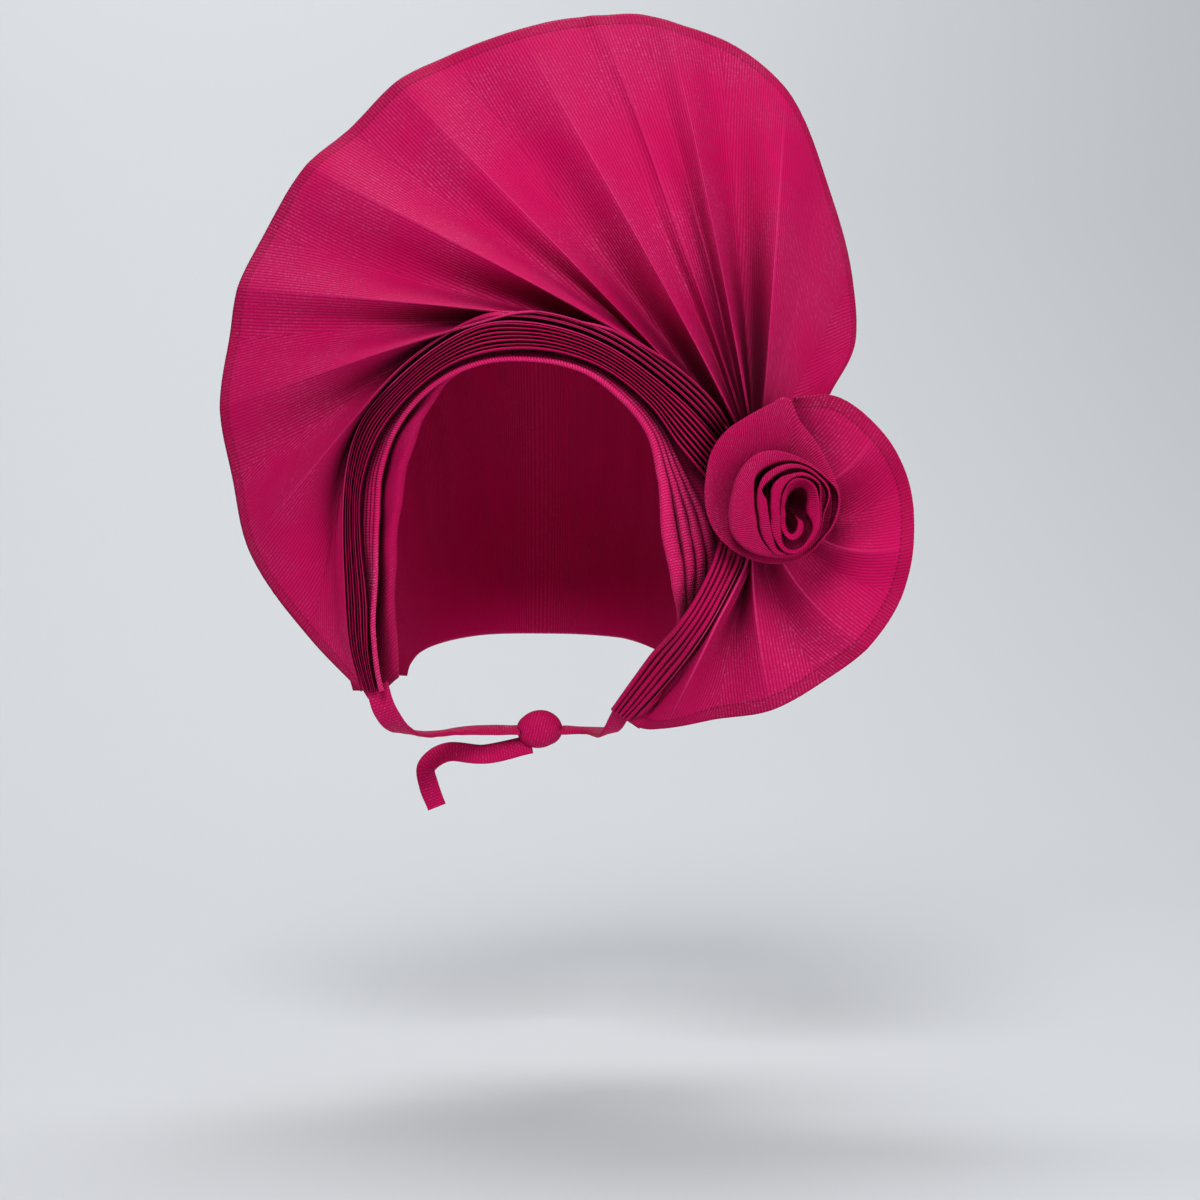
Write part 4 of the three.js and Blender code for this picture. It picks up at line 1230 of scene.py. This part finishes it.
# The rolls get the brighter fuchsia and strong glints: painted light where the band shades them
roll_cloth = cloth_material("roll_cloth", FUCHSIA_PAINTED_LIGHT, 0.9, rib_pitch=BEAD_PITCH,
                            thread_pitch=0.7, relief=0.35)
for number, roll in enumerate(ROLLS, start=1):
    piece = brow_roll(f"brow_roll_{number}_cloth", roll, 40 + number)
    finish_piece(piece, roll_cloth, "roll_cloth", f"brow_roll_{number}")

cap_cloth = cloth_material("cap_cloth", FUCHSIA, 0.2)
cap_piece = cap()
finish_piece(cap_piece, cap_cloth, "cap_cloth", "cap")

# The rosette takes stronger painted shade in its grooves and weaker painted shade in its folds
rose_cloth = cloth_material("rosette_cloth", FUCHSIA, 0.4, rib_pitch=1.05, thread_pitch=0.5,
                            relief=0.55, groove_shade=1.1, fold_shade=0.5)
rose = rosette()
finish_piece(rose, rose_cloth, "rosette_cloth", "rosette")

strap_cloth = cloth_material("strap_cloth", FUCHSIA, 0.25, rib_pitch=1.3, thread_pitch=0.6)
for side, rows, share, held_by in (
    ("left", STRAP_LEFT, 1.0, ["cap", "strap_knot"]),
    ("right", STRAP_RIGHT, 0.8, ["cap", "strap_knot"]),
    ("tail", STRAP_TAIL, 0.85, ["strap_knot"]),
):
    width = STRAP_WIDTH * share
    piece = flat_strap(f"strap_{side}_cloth", rows, width)
    finish_piece(piece, strap_cloth, "strap_cloth", f"strap_{side}")
    # One strip sewn double, drawn narrower where it is tied: its skin has two sides
    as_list(held_by)
finish_piece(knot(), strap_cloth, "strap_cloth", "strap_knot")
finish_piece(gather_wrap(), pleat_cloth, "pleat_cloth", "gather_binding")


# Stage, light and camera, in metres

PAPER = (0.60, 0.62, 0.64, 1.0)
SWEEP_HALF = 2.3
SWEEP_SHIFT = 0.3
SWEEP_FLOOR = -0.36
SWEEP_RISE = 4.5
SWEEP_BEND = 1.9


def paper_material():
    material = bpy.data.materials.new("pale_paper")
    material.use_nodes = True
    shader = material.node_tree.nodes["Principled BSDF"]
    shader.inputs["Base Color"].default_value = PAPER
    shader.inputs["Roughness"].default_value = 0.9
    return material


def studio_sweep():
    """Floor that bends up into a wall behind the object."""
    mesh = bmesh.new()
    bmesh.ops.create_grid(mesh, x_segments=1, y_segments=1, size=SWEEP_HALF)
    back = max(mesh.edges, key=lambda e: min(v.co.y for v in e.verts))
    wall = bmesh.ops.extrude_edge_only(mesh, edges=[back])["geom"]
    wall_top = [item for item in wall if isinstance(item, bmesh.types.BMVert)]
    bmesh.ops.translate(mesh, verts=wall_top, vec=(0, 0, SWEEP_RISE))
    bmesh.ops.translate(mesh, verts=mesh.verts, vec=(0, SWEEP_SHIFT, SWEEP_FLOOR))
    bend = [e for e in mesh.edges if len(e.link_faces) == 2]
    bmesh.ops.bevel(mesh, geom=bend, offset=SWEEP_BEND, segments=32, profile=0.5, affect="EDGES",
                    material=-1)
    for face in mesh.faces:
        face.smooth = True
    data = bpy.data.meshes.new("studio_sweep")
    mesh.to_mesh(data)
    mesh.free()
    sweep = bpy.data.objects.new("studio_sweep", data)
    bpy.context.scene.collection.objects.link(sweep)
    sweep.data.materials.append(paper_material())


studio_sweep()


def area_light(name, place, target, size, power):
    data = bpy.data.lights.new(name, "AREA")
    data.size = size
    data.energy = power
    light = bpy.data.objects.new(name, data)
    light.location = place
    light.rotation_euler = (Vector(target) - Vector(place)).to_track_quat("-Z", "Y").to_euler()
    light.visible_camera = False
    bpy.context.scene.collection.objects.link(light)


area_light("key_light", (-0.22, -1.75, 1.35), (0, 0, -0.08), 0.9, 36)
area_light("fill_light", (1.3, -1.2, 0.3), (0, 0.0, -0.02), 1.2, 11)
area_light("back_light", (0.2, 0.75, 1.3), (0, 0, 0.0), 0.8, 6)
area_light("backdrop_light", (-0.6, 1.0, 2.4), (-0.5, 2.6, 0.1), 1.5, 46)

world = bpy.data.worlds.new("soft_room")
bpy.context.scene.world = world
world.use_nodes = True
backdrop = world.node_tree.nodes["Background"]
backdrop.inputs["Color"].default_value = (0.80, 0.84, 0.90, 1.0)
room = Nodes(world.node_tree)
# Past the paper's edge the room looks as bright as the paper, and still lights the cloth softly
looked_at = room.math("MULTIPLY", room.add("ShaderNodeLightPath").outputs["Is Camera Ray"], 0.66)
room.wire(room.math("ADD", looked_at, 0.17), backdrop.inputs["Strength"])

# The camera stands in front of the crown, level with the middle of the opening
CAMERA = (0.029, -1.150, -0.138)
SENSOR_WIDTH = 36.0
LENS = 75.0
camera_data = bpy.data.cameras.new("camera")
camera_data.sensor_width = SENSOR_WIDTH
camera_data.lens = LENS
camera = bpy.data.objects.new("camera", camera_data)
camera.location = CAMERA
camera.rotation_euler = (math.radians(90), 0, 0)
bpy.context.scene.collection.objects.link(camera)
bpy.context.scene.camera = camera
bpy.context.scene.view_settings.view_transform = "Standard"
